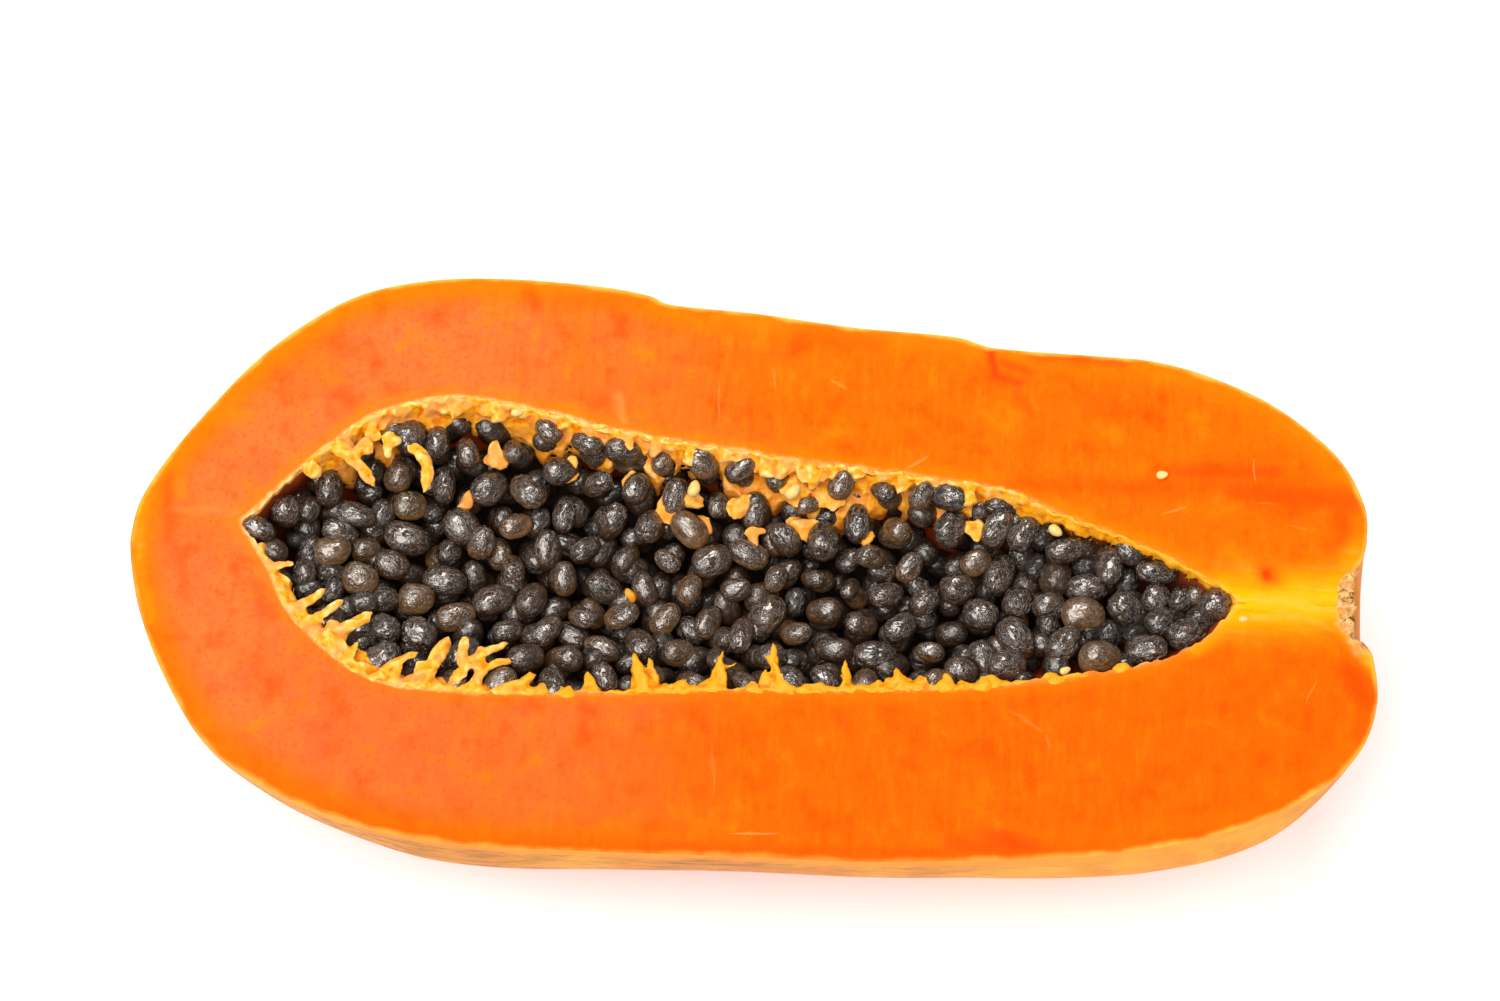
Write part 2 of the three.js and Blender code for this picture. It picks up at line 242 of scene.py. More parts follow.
def bed_height(x, y):
    """The height at which the middles of the top seeds lie."""
    half_width = (far_edge(x) - near_edge(x)) / 2
    middle = cavity_middle(x)
    reach = edge_reach(x, y > middle)
    edge_share = np.clip(np.abs(y - middle) / np.maximum(reach, 1), 0, 1)
    rim_drop = RIM_DROP * np.minimum(1, half_width / FULL_WIDTH)
    return -rim_drop - VALLEY_SHARE * half_width * (1 - edge_share**2)


# ---- from the fruit's frame to the model's ----

flesh_low, flesh_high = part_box("papaya_half")
rim_shares = np.linspace(0, 1, 2001)
outline = np.vstack([skin_point(rim_shares, 0.0), skin_point(rim_shares, math.pi)])
FRUIT_ORIGIN = np.array([
    (flesh_low.x + flesh_high.x) * 500 - (outline[:, 0].min() + outline[:, 0].max()) / 2,
    (flesh_low.y + flesh_high.y) * 500 - (outline[:, 1].min() + outline[:, 1].max()) / 2,
    flesh_high.z * 1000,
])
HIGHEST = cad_high.z * 1000 - FRUIT_ORIGIN[2]  # how far anything may stand above the cut face


def to_frame(points):
    """Points of the fruit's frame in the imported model's, in metres."""
    return (np.asarray(points, float) + FRUIT_ORIGIN) / 1000


# ---- meshes ----


def make_object(name, points, faces, attributes):
    """A mesh object from points in the fruit's frame, with float or vector attributes per point."""
    mesh = bpy.data.meshes.new(name)
    mesh.from_pydata(to_frame(points).tolist(), [], faces)
    for key, values in attributes.items():
        kind = "FLOAT_VECTOR" if values.ndim == 2 else "FLOAT"
        field = "vector" if values.ndim == 2 else "value"
        layer = mesh.attributes.new(key, kind, "POINT")
        layer.data.foreach_set(field, values.astype(np.float32).ravel())
    mesh.validate()
    mesh.update()
    mesh.shade_smooth()
    made = bpy.data.objects.new(name, mesh)
    bpy.context.scene.collection.objects.link(made)
    return made


def joined(parts):
    """Several (points, faces, attributes) as one, in order."""
    points, faces, attributes, start = [], [], {}, 0
    for part_points, part_faces, part_attributes in parts:
        points.append(part_points)
        faces += [[start + i for i in face] for face in part_faces]
        for key, values in part_attributes.items():
            attributes.setdefault(key, []).append(values)
        start += len(part_points)
    return np.vstack(points), faces, {key: np.concatenate(v) for key, v in attributes.items()}


def slab(top, thickness):
    """A closed sheet from a grid of points on its upper side."""
    rows, columns = top.shape[:2]
    count = rows * columns
    faces = []
    for i in range(rows - 1):
        for j in range(columns - 1):
            a = i * columns + j
            faces.append([a, a + columns, a + columns + 1, a + 1])
            faces.append([count + a, count + a + 1, count + a + columns + 1, count + a + columns])
    border = [i * columns for i in range(rows)]
    border += [(rows - 1) * columns + j for j in range(1, columns)]
    border += [i * columns + columns - 1 for i in range(rows - 2, -1, -1)]
    border += list(range(columns - 2, 0, -1))
    for a, b in zip(border, border[1:] + border[:1]):
        faces.append([a, count + a, count + b, b])
    points = np.vstack([top.reshape(-1, 3), (top - [0, 0, thickness]).reshape(-1, 3)])
    return points, faces, {"place": points.copy()}


def tube_faces(steps, around):
    """Faces of a tube of rings that is closed by a point at each end."""
    last = (steps - 1) * around + 1
    faces = []
    for j in range(around):
        k = (j + 1) % around
        faces.append([0, 1 + k, 1 + j])
        for i in range(steps - 2):
            a = 1 + i * around
            faces.append([a + j, a + k, a + around + k, a + around + j])
        faces.append([last - around + j, last - around + k, last])
    return faces


def ball(steps, around):
    """A unit ball with its poles on z, as points and faces."""
    polar = np.repeat(np.arange(1, steps) * math.pi / steps, around)
    turn = np.tile(np.arange(around) * 2 * math.pi / around, steps - 1)
    rings = np.stack([np.sin(polar) * np.cos(turn), np.sin(polar) * np.sin(turn), np.cos(polar)], -1)
    faces = [face[::-1] for face in tube_faces(steps, around)]
    return np.vstack([[0, 0, 1], rings, [0, 0, -1]]), faces


# ---- the body: skin, cut face and cavity as one closed mesh ----

BODY_LENGTH_STEPS = 420  # along each rim, from tip to stem
SKIN_STEPS = 64  # from the far rim under the fruit to the near rim
FACE_STEPS = 60  # from the outer rim to the cavity's edge
CAVITY_STEPS = 30

# Marks on the cut face, as soft strokes (x, y, to x, to y, radius, strength).
MARKS = {
    "deep": [  # deeper orange-red flesh
        (6.2, 13.7, 8, 0.4, 1.4, 0.55), (8, 0.4, 12.2, -10, 1.4, 0.35),
        (208.7, 26.4, 227.7, 26.8, 2, 0.7), (219.7, 22.9, 242.7, 21.3, 3.2, 0.75),
        (240.3, 22.9, 241.8, 13.3, 2.4, 0.7), (179.2, 50, 197.1, 49.6, 1.6, 0.6),
        (171.5, 21.1, 215.7, 23.3, 2, 0.45), (192.3, 40.5, 201.4, 39.3, 3.2, 0.4),
        (165.6, -54.2, 182.1, -53.9, 2.4, 0.7), (172.3, -52.4, 179.1, -52.4, 2.4, 0.6),
        (105.6, -58.1, 128.9, -57.6, 1.4, 0.45), (132.7, -57, 163.7, -56.1, 1.6, 0.5),
        (183.1, -54.6, 214, -49.3, 1.8, 0.35), (242.9, -14.6, 246.1, -20.3, 3.2, 0.9),
        (246.1, -20.3, 244.5, -27.7, 2.4, 0.6), (239, -18.6, 242, -24.7, 2.4, 0.4),
        (236.4, -5.7, 239.7, -7.4, 0.6, 0.6), (239.7, -7.4, 242.1, -11.5, 0.6, 0.6),
        (242.1, -11.5, 242.7, -13.8, 0.6, 0.5), (25.8, -8.2, 29.4, -14.4, 1.8, 0.5),
        (108.3, 58.6, 111.5, 56.5, 2, 0.35), (210, -45, 225.5, -42.1, 2.8, 0.35),
        (131, 53.1, 147.4, 50.7, 2.4, 0.35), (81.9, 57.1, 98.1, 58, 1.8, 0.3),
        (38.9, 34.1, 41.1, 32.2, 1.8, 0.5), (48.5, 36.2, 51, 35, 1.4, 0.4),
        (188.5, -40.9, 194.3, -39.1, 1, 0.5),
    ],
    "red": [  # bruised or very ripe flesh
        (169.7, 50.3, 170.7, 45.1, 1.2, 0.9), (170.9, 45.1, 175.6, 43.6, 1.2, 0.75),
        (172.4, 48.3, 177.5, 46.3, 1, 0.55), (175.7, 41.8, 178.2, 37.1, 1.2, 0.45),
        (226.3, 5.2, 226.5, 4.6, 2.0, 1), (92.9, -30, 94.4, -31.1, 1.4, 0.5),
        (82.7, -29.7, 84.1, -30.7, 1.4, 0.45), (116.1, -32, 117.3, -33.4, 1.2, 0.45),
        (141.8, -28.5, 143.1, -30.5, 1.4, 0.4), (75.3, 57.6, 77, 56.2, 1.6, 0.4),
        (175.2, -52.6, 179.6, -53.8, 1.6, 0.5),
    ],
    "yellow": [  # the stem's strand bundle and the blossom tip
        (1.1, 8.7, 2, -4.2, 1.5, 0.3), (2, -4.2, 5.8, -16.7, 1.2, 0.2),
        (2.6, 13.1, 3.9, 16.2, 1.2, 0.2), (218.1, -1.4, 241.9, 0.5, 5.8, 0.95),
        (241.8, 5.8, 243.8, 11.7, 2.2, 0.35), (241.9, -5.9, 247.2, -10.8, 1.6, 0.5),
        (213.1, 3.2, 221.1, -1.3, 1.8, 0.6), (212.3, -11.3, 221.1, -4.9, 1.5, 0.35),
        (246.4, -10.9, 248, -14.3, 1.2, 0.5),
    ],
    "pale": [  # soft pale streaks
        (7.7, 7.1, 20.5, 7.4, 0.9, 0.12), (225.4, -0.4, 235.3, -0.5, 1.1, 0.2),
        (235.3, -1.1, 239.9, -2.2, 1, 0.15), (229, -2.8, 236.9, -4.4, 0.9, 0.15),
        (83.8, 29.5, 100.1, 27.1, 1.2, 0.7), (100.1, 27.1, 110.2, 26.2, 0.9, 0.5),
        (95, 36.7, 96.6, 31.3, 0.9, 0.25),
    ],
}
# Single pale fibres, nicks and knife marks, too fine for the mesh's points.
FINE_MARKS = [
    (223.4, 30.2, 223.8, 24.4, 0.3, 0.28), (223.3, 20.4, 228.4, 20.2, 0.28, 0.15),
    (231, 15.8, 234.6, 15.3, 0.35, 0.14), (204.8, 16.7, 210.2, 18.9, 0.45, 0.28),
    (153.6, 23.6, 158.5, 27.1, 0.6, 0.28), (236.4, -16.6, 234.2, -21.6, 0.35, 0.18),
    (175.7, -25.8, 183.3, -30.6, 0.6, 0.12), (183.3, -30.6, 184.4, -33.7, 0.5, 0.12),
    (122.6, -54.7, 132.6, -54, 0.4, 0.35), (118, -34.6, 119.5, -46.9, 0.6, 0.1),
    (115.2, 41.2, 115.8, 32.2, 0.45, 0.18), (125.8, 45, 126.9, 39.2, 0.4, 0.18),
    (137.4, 42.3, 141.4, 40.6, 0.6, 0.18),
]
FINE_MARK_SHIFT = 0.45  # makes up for the mean of the noise that bends them
# How much fuller the near side of the skin is than an even round: x and millimetres.
NEAR_FULLNESS = [
    (30, 0), (50, 0.8), (62, 2), (78, 2), (95, 1.3), (120, 0.5), (165, 1), (185, 2), (205, 3),
    (222, 4), (234, 3), (242, 0),
]
FULLNESS_BLUR = range(-7, 8, 2)  # the fullness is the mean at these shifts along the fruit
FRUIT_MIDDLE = (122, 0, 0)
# How pale the torn crest along the cavity's edge is: x and share.
FAR_CREST = [(22, 0.9), (60, 1.0), (90, 0.7), (160, 0.4), (215, 0.1)]
NEAR_CREST = [(22, 0.9), (50, 1.0), (62, 0.7), (75, 0.2), (215, 0.15)]
# How yellow the near rim is: x and share. The far rim is yellow all along.
NEAR_RIM_LIGHT = [(70, 0.55), (130, 0.3), (170, 0.4), (210, 0.7)]
SCAR_MIDDLE = (246.0, -0.8, 0.0)
SCAR_REACH = (6.0, 9.8, 9.0)
EDGE_SAMPLES = 1601
OFF_THE_FACE = 60.0  # the skin's distance from the cavity's edge, which is only used as far away


def stroke_weight(points, strokes):
    """How strongly each 2-D point is painted by the strokes, from 0 to 1."""
    weight = np.zeros(len(points))
    for x0, y0, x1, y1, radius, strength in strokes:
        start, way = np.array([x0, y0]), np.array([x1 - x0, y1 - y0])
        share = np.clip((points - start) @ way / max(way @ way, 1e-9), 0, 1)
        gap = np.linalg.norm(points - start - share[:, None] * way, axis=1)
        weight = np.maximum(weight, strength * np.exp(-((gap / radius) ** 2)))
    return weight


def crowded_ends(count, crowding):
    """Shares from 0 to 1 that lie closer together at both ends."""
    t = np.linspace(0, 1, count + 1)
    return t - crowding * np.sin(2 * math.pi * t)


def half_grid(surface, length_steps, shares):
    """Inner rows of a surface between two rims, without the rims and the two poles."""
    along = np.linspace(0, 1, length_steps + 1)[1:-1]
    rows = [surface(along, share * math.pi) for share in shares[1:-1]]
    return np.array(rows)


def body_parts():
    """The plain closed surface: its points, faces, their materials, and how many points are what."""
    n = BODY_LENGTH_STEPS
    along = np.linspace(0, 1, n + 1)
    there, back = along, along[-2:0:-1]
    outer = np.vstack([skin_point(there, 0.0), skin_point(back, math.pi)])
    inner = np.vstack([cavity_point(there, 0.0), cavity_point(back, math.pi)])
    outer[:, 2] = inner[:, 2] = 0
    loop = len(outer)
    ring_shares = crowded_ends(FACE_STEPS, 0.14)
    face = np.array([outer * (1 - s) + inner * s for s in ring_shares])
    skin = half_grid(skin_point, n, crowded_ends(SKIN_STEPS, 0.12))
    cavity = half_grid(cavity_point, n, crowded_ends(CAVITY_STEPS, 0.08))
    points = np.vstack([face.reshape(-1, 3), skin.reshape(-1, 3), cavity.reshape(-1, 3)])

    faces, materials = [], []
    for r in range(FACE_STEPS):
        for k in range(loop):
            a, b = r * loop + k, r * loop + (k + 1) % loop
            faces.append([a, b, b + loop, a + loop])
            materials.append(0)

    def close(ring, first, rows, facing_in, material):
        """Faces of a half grid, sewn to one ring of the cut face."""

        def at(i, j):
            if i == 0 or i == n:
                return ring * loop + (0 if i == 0 else n)
            if j == 0:
                return ring * loop + i
            if j == rows + 1:
                return ring * loop + (loop - i)
            return first + (j - 1) * (n - 1) + i - 1

        for j in range(rows + 1):
            for i in range(n):
                corners = [at(i, j), at(i, j + 1), at(i + 1, j + 1), at(i + 1, j)]
                corners = list(dict.fromkeys(corners))
                if facing_in:
                    corners.reverse()
                faces.append(corners)
                materials.append(material)

    face_count = face.shape[0] * loop
    close(0, face_count, skin.shape[0], True, 1)
    close(FACE_STEPS, face_count + skin.shape[0] * (n - 1), cavity.shape[0], False, 0)
    return points, faces, materials, face_count, skin.shape[0] * (n - 1)


def edge_gaps(points, is_face, is_cavity):
    """Each point's distance to the rim and to the cavity's edge, below zero inside the cavity."""
    fine = np.linspace(0, 1, EDGE_SAMPLES)
    rim_line = np.vstack([skin_point(fine, 0.0), skin_point(fine, math.pi)])[:, :2]
    cavity_line = np.vstack([cavity_far(fine), cavity_near(fine)])
    rim_gap = np.zeros(len(points))
    cavity_gap = np.full(len(points), OFF_THE_FACE)
    rim_gap[is_face] = distance_to(points[is_face, :2], rim_line)
    cavity_gap[is_face] = distance_to(points[is_face, :2], cavity_line)
    cavity_gap[is_cavity] = points[is_cavity, 2]
    return rim_gap, cavity_gap


def face_relief(spots, rim_gap, cavity_gap):
    """The face is cut by hand, so it is not quite flat, and its edges are soft."""
    waves = 0.16 * noise_at(spots, 26, 3.1, 2) + 0.05 * noise_at(spots, 3.2, 9.0, 2)
    away = smoothstep(0.0, 3.0, rim_gap)
    lip = -0.28 * np.exp(-rim_gap / 0.35) - 0.7 * np.exp(-cavity_gap / 0.8)
    return np.minimum(waves * away - 0.12, 0.0) + lip


def wall_relief(spots, gap):
    """The cavity's edge is ragged, and its wall is lumpy near the cut."""
    weight = np.where(gap >= 0, np.exp(-gap / 1.1), np.exp(gap / 9.0))
    x = spots[:, 0]
    outward = spots - np.stack([x, cavity_middle(x), np.zeros(len(spots))], -1)
    outward /= np.maximum(np.linalg.norm(outward, axis=1), 1e-6)[:, None]
    lumps = noise_at(spots * [1, 1, 0.45], 2.6, 21.0, 2) * 0.9 + noise_at(spots, 7.5, 5.0) * 0.9
    return outward * (lumps * weight)[:, None]


def skin_relief(spots):
    """The skin has faint dents, and its near side is fuller than an even round."""
    x, y, z = spots.T
    dents = 0.18 * noise_at(spots, 30, 1.7, 2) + 0.02 * noise_at(spots, 2.5, 8.0)
    normal = spots - FRUIT_MIDDLE
    normal[:, 0] *= 0.15
    normal /= np.linalg.norm(normal, axis=1)[:, None]
    turn = np.arctan2(-z, -y)
    fuller = np.mean([read(NEAR_FULLNESS, x + shift) for shift in FULLNESS_BLUR], axis=0)
    fuller *= smoothstep(0, 0.35, turn) * smoothstep(1.2, 0.5, turn)
    return normal * (np.minimum(dents - 0.12, 0) * smoothstep(0.0, 6.0, -z) + fuller)[:, None]


def cork_share(points):
    """From 1 on the scar that the stem left to 0 away from it."""
    gap = np.linalg.norm((points - SCAR_MIDDLE) / SCAR_REACH, axis=1)
    return 1 - smoothstep(0.78, 1.06, gap + 0.16 * noise_at(points, 3.0, 6.0, 2))


def shape_body(points, face_count, skin_count):
    """Gives the plain surfaces their relief, and returns them with their attributes."""
    order = np.arange(len(points))
    is_face = order < face_count
    is_skin = ~is_face & (order < face_count + skin_count)
    is_cavity = ~is_face & ~is_skin
    rim_gap, cavity_gap = edge_gaps(points, is_face, is_cavity)
    by_cavity = is_cavity | (is_face & (cavity_gap < 4))
    cork = cork_share(points)

    shaped = points.copy()
    shaped[is_face, 2] += face_relief(points[is_face], rim_gap[is_face], cavity_gap[is_face])
    shaped[by_cavity] += wall_relief(points[by_cavity], cavity_gap[by_cavity])
    shaped[is_cavity, 2] -= 0.82 * np.exp(points[is_cavity, 2] / 2.0)
    shaped[is_skin] += skin_relief(points[is_skin])
    shaped[:, 0] -= cork * 0.5 * np.clip(noise_at(points, 2.2, 12.0, 2) + 0.5, 0, None)
    shaped[:, 2] = np.maximum(shaped[:, 2], -FRUIT_ORIGIN[2])  # it lies flat where it rests

    attributes = body_attributes(points, is_face, is_cavity, rim_gap)
    attributes.update(rim_gap=rim_gap, cavity_gap=cavity_gap, cork=cork)
    return shaped, attributes


def body_attributes(points, is_face, is_cavity, rim_gap):
    """What the materials of the skin and the flesh go by, apart from the distances to the edges."""
    x, y, z = points.T
    far_side = y > cavity_middle(x)
    # The flesh is paler and pinker towards the blossom end, away from the rims.
    along = x + 16 * noise_at(points, 30, 2.2, 2)
    # The wall is darker at both ends, where it lies in the shade of the seeds.
    ends = np.maximum(smoothstep(180, 198, x), smoothstep(46, 36, x))
    attributes = {
        "place": points.copy(),
        "depth": -z,
        "crest": np.where(far_side, read(FAR_CREST, x), read(NEAR_CREST, x)),
        "mottled": 0.2 + 0.8 * smoothstep(200, 125, x + 16 * noise_at(points, 22, 8.0)),
        "shade": np.where(is_cavity, ends, 0),
        "salmon": (1 - smoothstep(60, 135, along)) * smoothstep(2.0, 9.0, rim_gap),
        "rim_light": np.where(far_side, 1.0, read(NEAR_RIM_LIGHT, x)),
        "fibrous": 0.5 + 0.5 * smoothstep(50, 90, along) * (1 - smoothstep(205, 225, along)),
    }
    bend = np.stack([noise_at(points, 3.5, shift) for shift in (40.0, 60.0)], -1)
    for name, strokes in MARKS.items():
        painted = np.zeros(len(points))
        painted[is_face] = stroke_weight((points[:, :2] + 0.7 * bend)[is_face], strokes)
        attributes[name] = painted
    near_side = 0.25 * smoothstep(5, -25, y) * smoothstep(10, 50, x)
    attributes["deep"] = np.maximum(attributes["deep"], near_side)
    return attributes


# ---- shader nodes ----


def colour(red, green, blue):
    """A screen colour, 0 to 255 a channel, as the shader's linear colour."""

    def linear(channel):
        value = channel / 255
        return ((value + 0.055) / 1.055) ** 2.4 if channel > 10 else value / 12.92

    return (linear(red), linear(green), linear(blue), 1.0)


class Shader:
    """A material with one Principled surface, and short names for the nodes used here.

    Lengths are in millimetres, as in the meshes' attributes of the fruit's frame.
    """

    def __init__(self, name):
        self.material = bpy.data.materials.new(name)
        self.material.use_nodes = True
        self.nodes = self.material.node_tree.nodes
        self.links = self.material.node_tree.links
        self.surface = self.nodes["Principled BSDF"]
        self.base = None  # the colour as painted so far

    def put(self, socket, value):
        """Links a node's output to a socket, or sets the socket's own value."""
        if isinstance(value, bpy.types.NodeSocket):
            self.links.new(value, socket)
        elif value is not None:
            socket.default_value = value

    def set(self, **values):
        for key, value in values.items():
            self.put(self.surface.inputs[key.replace("_", " ")], value)

    def attribute(self, name, vector=False):
        node = self.nodes.new("ShaderNodeAttribute")
        node.attribute_name = name
        return node.outputs["Vector" if vector else "Fac"]

    def math(self, operation, a, b=None, clamp=False):
        node = self.nodes.new("ShaderNodeMath")
        node.operation = operation
        node.use_clamp = clamp
        self.put(node.inputs[0], a)
        self.put(node.inputs[1], b)
        return node.outputs[0]

    def vector_math(self, operation, a, b, output="Vector"):
        node = self.nodes.new("ShaderNodeVectorMath")
        node.operation = operation
        self.put(node.inputs[0], a)
        self.put(node.inputs[1], b)
        return node.outputs[output]

    def scaled(self, vector, factors):
        return self.vector_math("MULTIPLY", vector, factors)

    def noise(self, vector, size, detail=3.0, rough=0.5, twist=0.0, output="Fac"):
        """Noise from 0 to 1 with features of the given size."""
        node = self.nodes.new("ShaderNodeTexNoise")
        self.put(node.inputs["Vector"], vector)
        node.inputs["Scale"].default_value = 1 / size
        node.inputs["Detail"].default_value = detail
        node.inputs["Roughness"].default_value = rough
        node.inputs["Distortion"].default_value = twist
        return node.outputs[output]

    def step(self, value, low, high, to_low=0.0, to_high=1.0):
        """Goes smoothly from to_low at low to to_high at high."""
        node = self.nodes.new("ShaderNodeMapRange")
        node.interpolation_type = "SMOOTHSTEP"
        self.put(node.inputs["Value"], value)
        keys = ("From Min", "From Max", "To Min", "To Max")
        for key, number in zip(keys, (low, high, to_low, to_high)):
            node.inputs[key].default_value = number
        return node.outputs[0]

    def times(self, a, b):
        return self.math("MULTIPLY", a, b)

    def plus(self, a, b):
        return self.math("ADD", a, b)

    def minus(self, a, b):
        return self.math("SUBTRACT", a, b)

    def wander(self, vector, size, reach, **how):
        """Noise from -reach / 2 to reach / 2, which makes a border wander."""
        return self.times(self.minus(self.noise(vector, size, **how), 0.5), reach)

    def mix(self, base, tone, share, where=None):
        """The base, drawn to the tone by the share. Where it is given, it scales the share."""
        node = self.nodes.new("ShaderNodeMix")
        node.data_type = "RGBA"
        self.put(node.inputs["Factor"], share if where is None else self.times(share, where))
        self.put(node.inputs[6], base)
        self.put(node.inputs[7], tone)
        return node.outputs[2]

    def paint(self, tone, share, where=None):
        """Puts one more layer on the colour as painted so far."""
        self.base = self.mix(self.base, tone, share, where)

    def stroke(self, vector, start, end, radius, strength):
        """The strength on the line from start to end, which tapers to both ends."""
        start, end = Vector(start), Vector(end)
        way = end - start
        from_start = self.vector_math("SUBTRACT", vector, tuple(start))
        share = self.vector_math("DOT_PRODUCT", from_start, tuple(way / way.length_squared), "Value")
        share = self.math("MINIMUM", self.math("MAXIMUM", share, 0.0), 1.0)
        scaled = self.nodes.new("ShaderNodeVectorMath")
        scaled.operation = "SCALE"
        scaled.inputs[0].default_value = way
        self.put(scaled.inputs["Scale"], share)
        gap = self.vector_math("DISTANCE", from_start, scaled.outputs[0], "Value")
        width = self.times(share, self.minus(1.0, share))
        width = self.math("MAXIMUM", self.times(width, 4 * radius), 0.01)
        return self.step(self.math("DIVIDE", gap, width), 1.0, 0.1, 0.0, strength)

    def bump(self, height, distance, normal=None):
        """A bump of the given depth in millimetres."""
        node = self.nodes.new("ShaderNodeBump")
        node.inputs["Distance"].default_value = distance / 1000
        self.put(node.inputs["Height"], height)
        if normal is not None:
            self.put(node.inputs["Normal"], normal)
        return node.outputs[0]


# ---- materials ----

FLESH = colour(255, 89, 0)
FLESH_SALMON = colour(255, 97, 44)
FLESH_PINK = colour(252, 74, 46)
FLESH_DEEP = colour(252, 60, 0)
FLESH_RED = colour(180, 50, 4)
FLESH_BRIGHT = colour(255, 110, 0)
FIBRE = colour(255, 134, 4)
VEIN_YELLOW = colour(250, 160, 4)
PALE_MARK = colour(244, 158, 84)
RIND_LINE = colour(250, 172, 70)
# The pale crest's colour, and a painted highlight on the tissue's bulges.
CREAM_AND_HIGHLIGHT = colour(232, 190, 122)
PLACENTA = colour(212, 142, 16)
# Painted shade in the hollows of the tissue.
PLACENTA_HOLLOW_SHADE = colour(196, 108, 4)
# Painted shade on tissue deeper below the cut.
PULP_IN_SHADE = colour(196, 120, 40)
PULP_TAN = colour(206, 136, 80)
# Pale tissue, and a painted highlight on the tissue's bulges.
PLACENTA_PALE_AND_HIGHLIGHT = colour(224, 162, 58)
# Painted shade deep in the cavity.
PLACENTA_IN_SHADE = colour(128, 44, 12)
WALL_RED = colour(206, 84, 14)
WALL_SHADE = colour(124, 50, 22)
WALL_DARK = colour(52, 20, 12)
CORK = colour(178, 130, 78)
CORK_PALE = colour(212, 170, 112)
CORK_DARK = colour(46, 34, 24)
SKIN_YELLOW = colour(232, 162, 44)
SKIN_ORANGE = colour(214, 132, 38)
SKIN_RIM = colour(252, 146, 20)
SKIN_TAN = colour(192, 128, 52)
SKIN_GREEN = colour(128, 100, 54)
SKIN_SPECK = colour(88, 66, 42)
TESTA = colour(7, 5, 4)
TESTA_BROWN = colour(32, 20, 13)
# Paler wrinkle crests, with a painted highlight.
TESTA_CREST_AND_HIGHLIGHT = colour(98, 74, 54)
JELLY = colour(64, 42, 22)
JELLY_PALE = colour(130, 94, 52)
# Near-black, painted on lower seeds and on the dark sheet under them as painted shade.
SHADE_TONE = colour(12, 8, 6)
OVULE = colour(204, 176, 112)


def cork_colour(s, place):
    """Tan cork with dark pits and cracks."""
    patches = s.noise(place, 1.6, rough=0.65, twist=0.6)
    tone = s.mix(CORK, CORK_PALE, s.step(patches, 0.42, 0.64))
    pits = s.noise(place, 1.1, detail=4, rough=0.75, twist=0.8)
    where = s.step(s.noise(place, 4.0, detail=2), 0.36, 0.56, 0.15, 1.0)
    return s.mix(tone, CORK_DARK, s.step(pits, 0.52, 0.6, 0, 0.85), where)


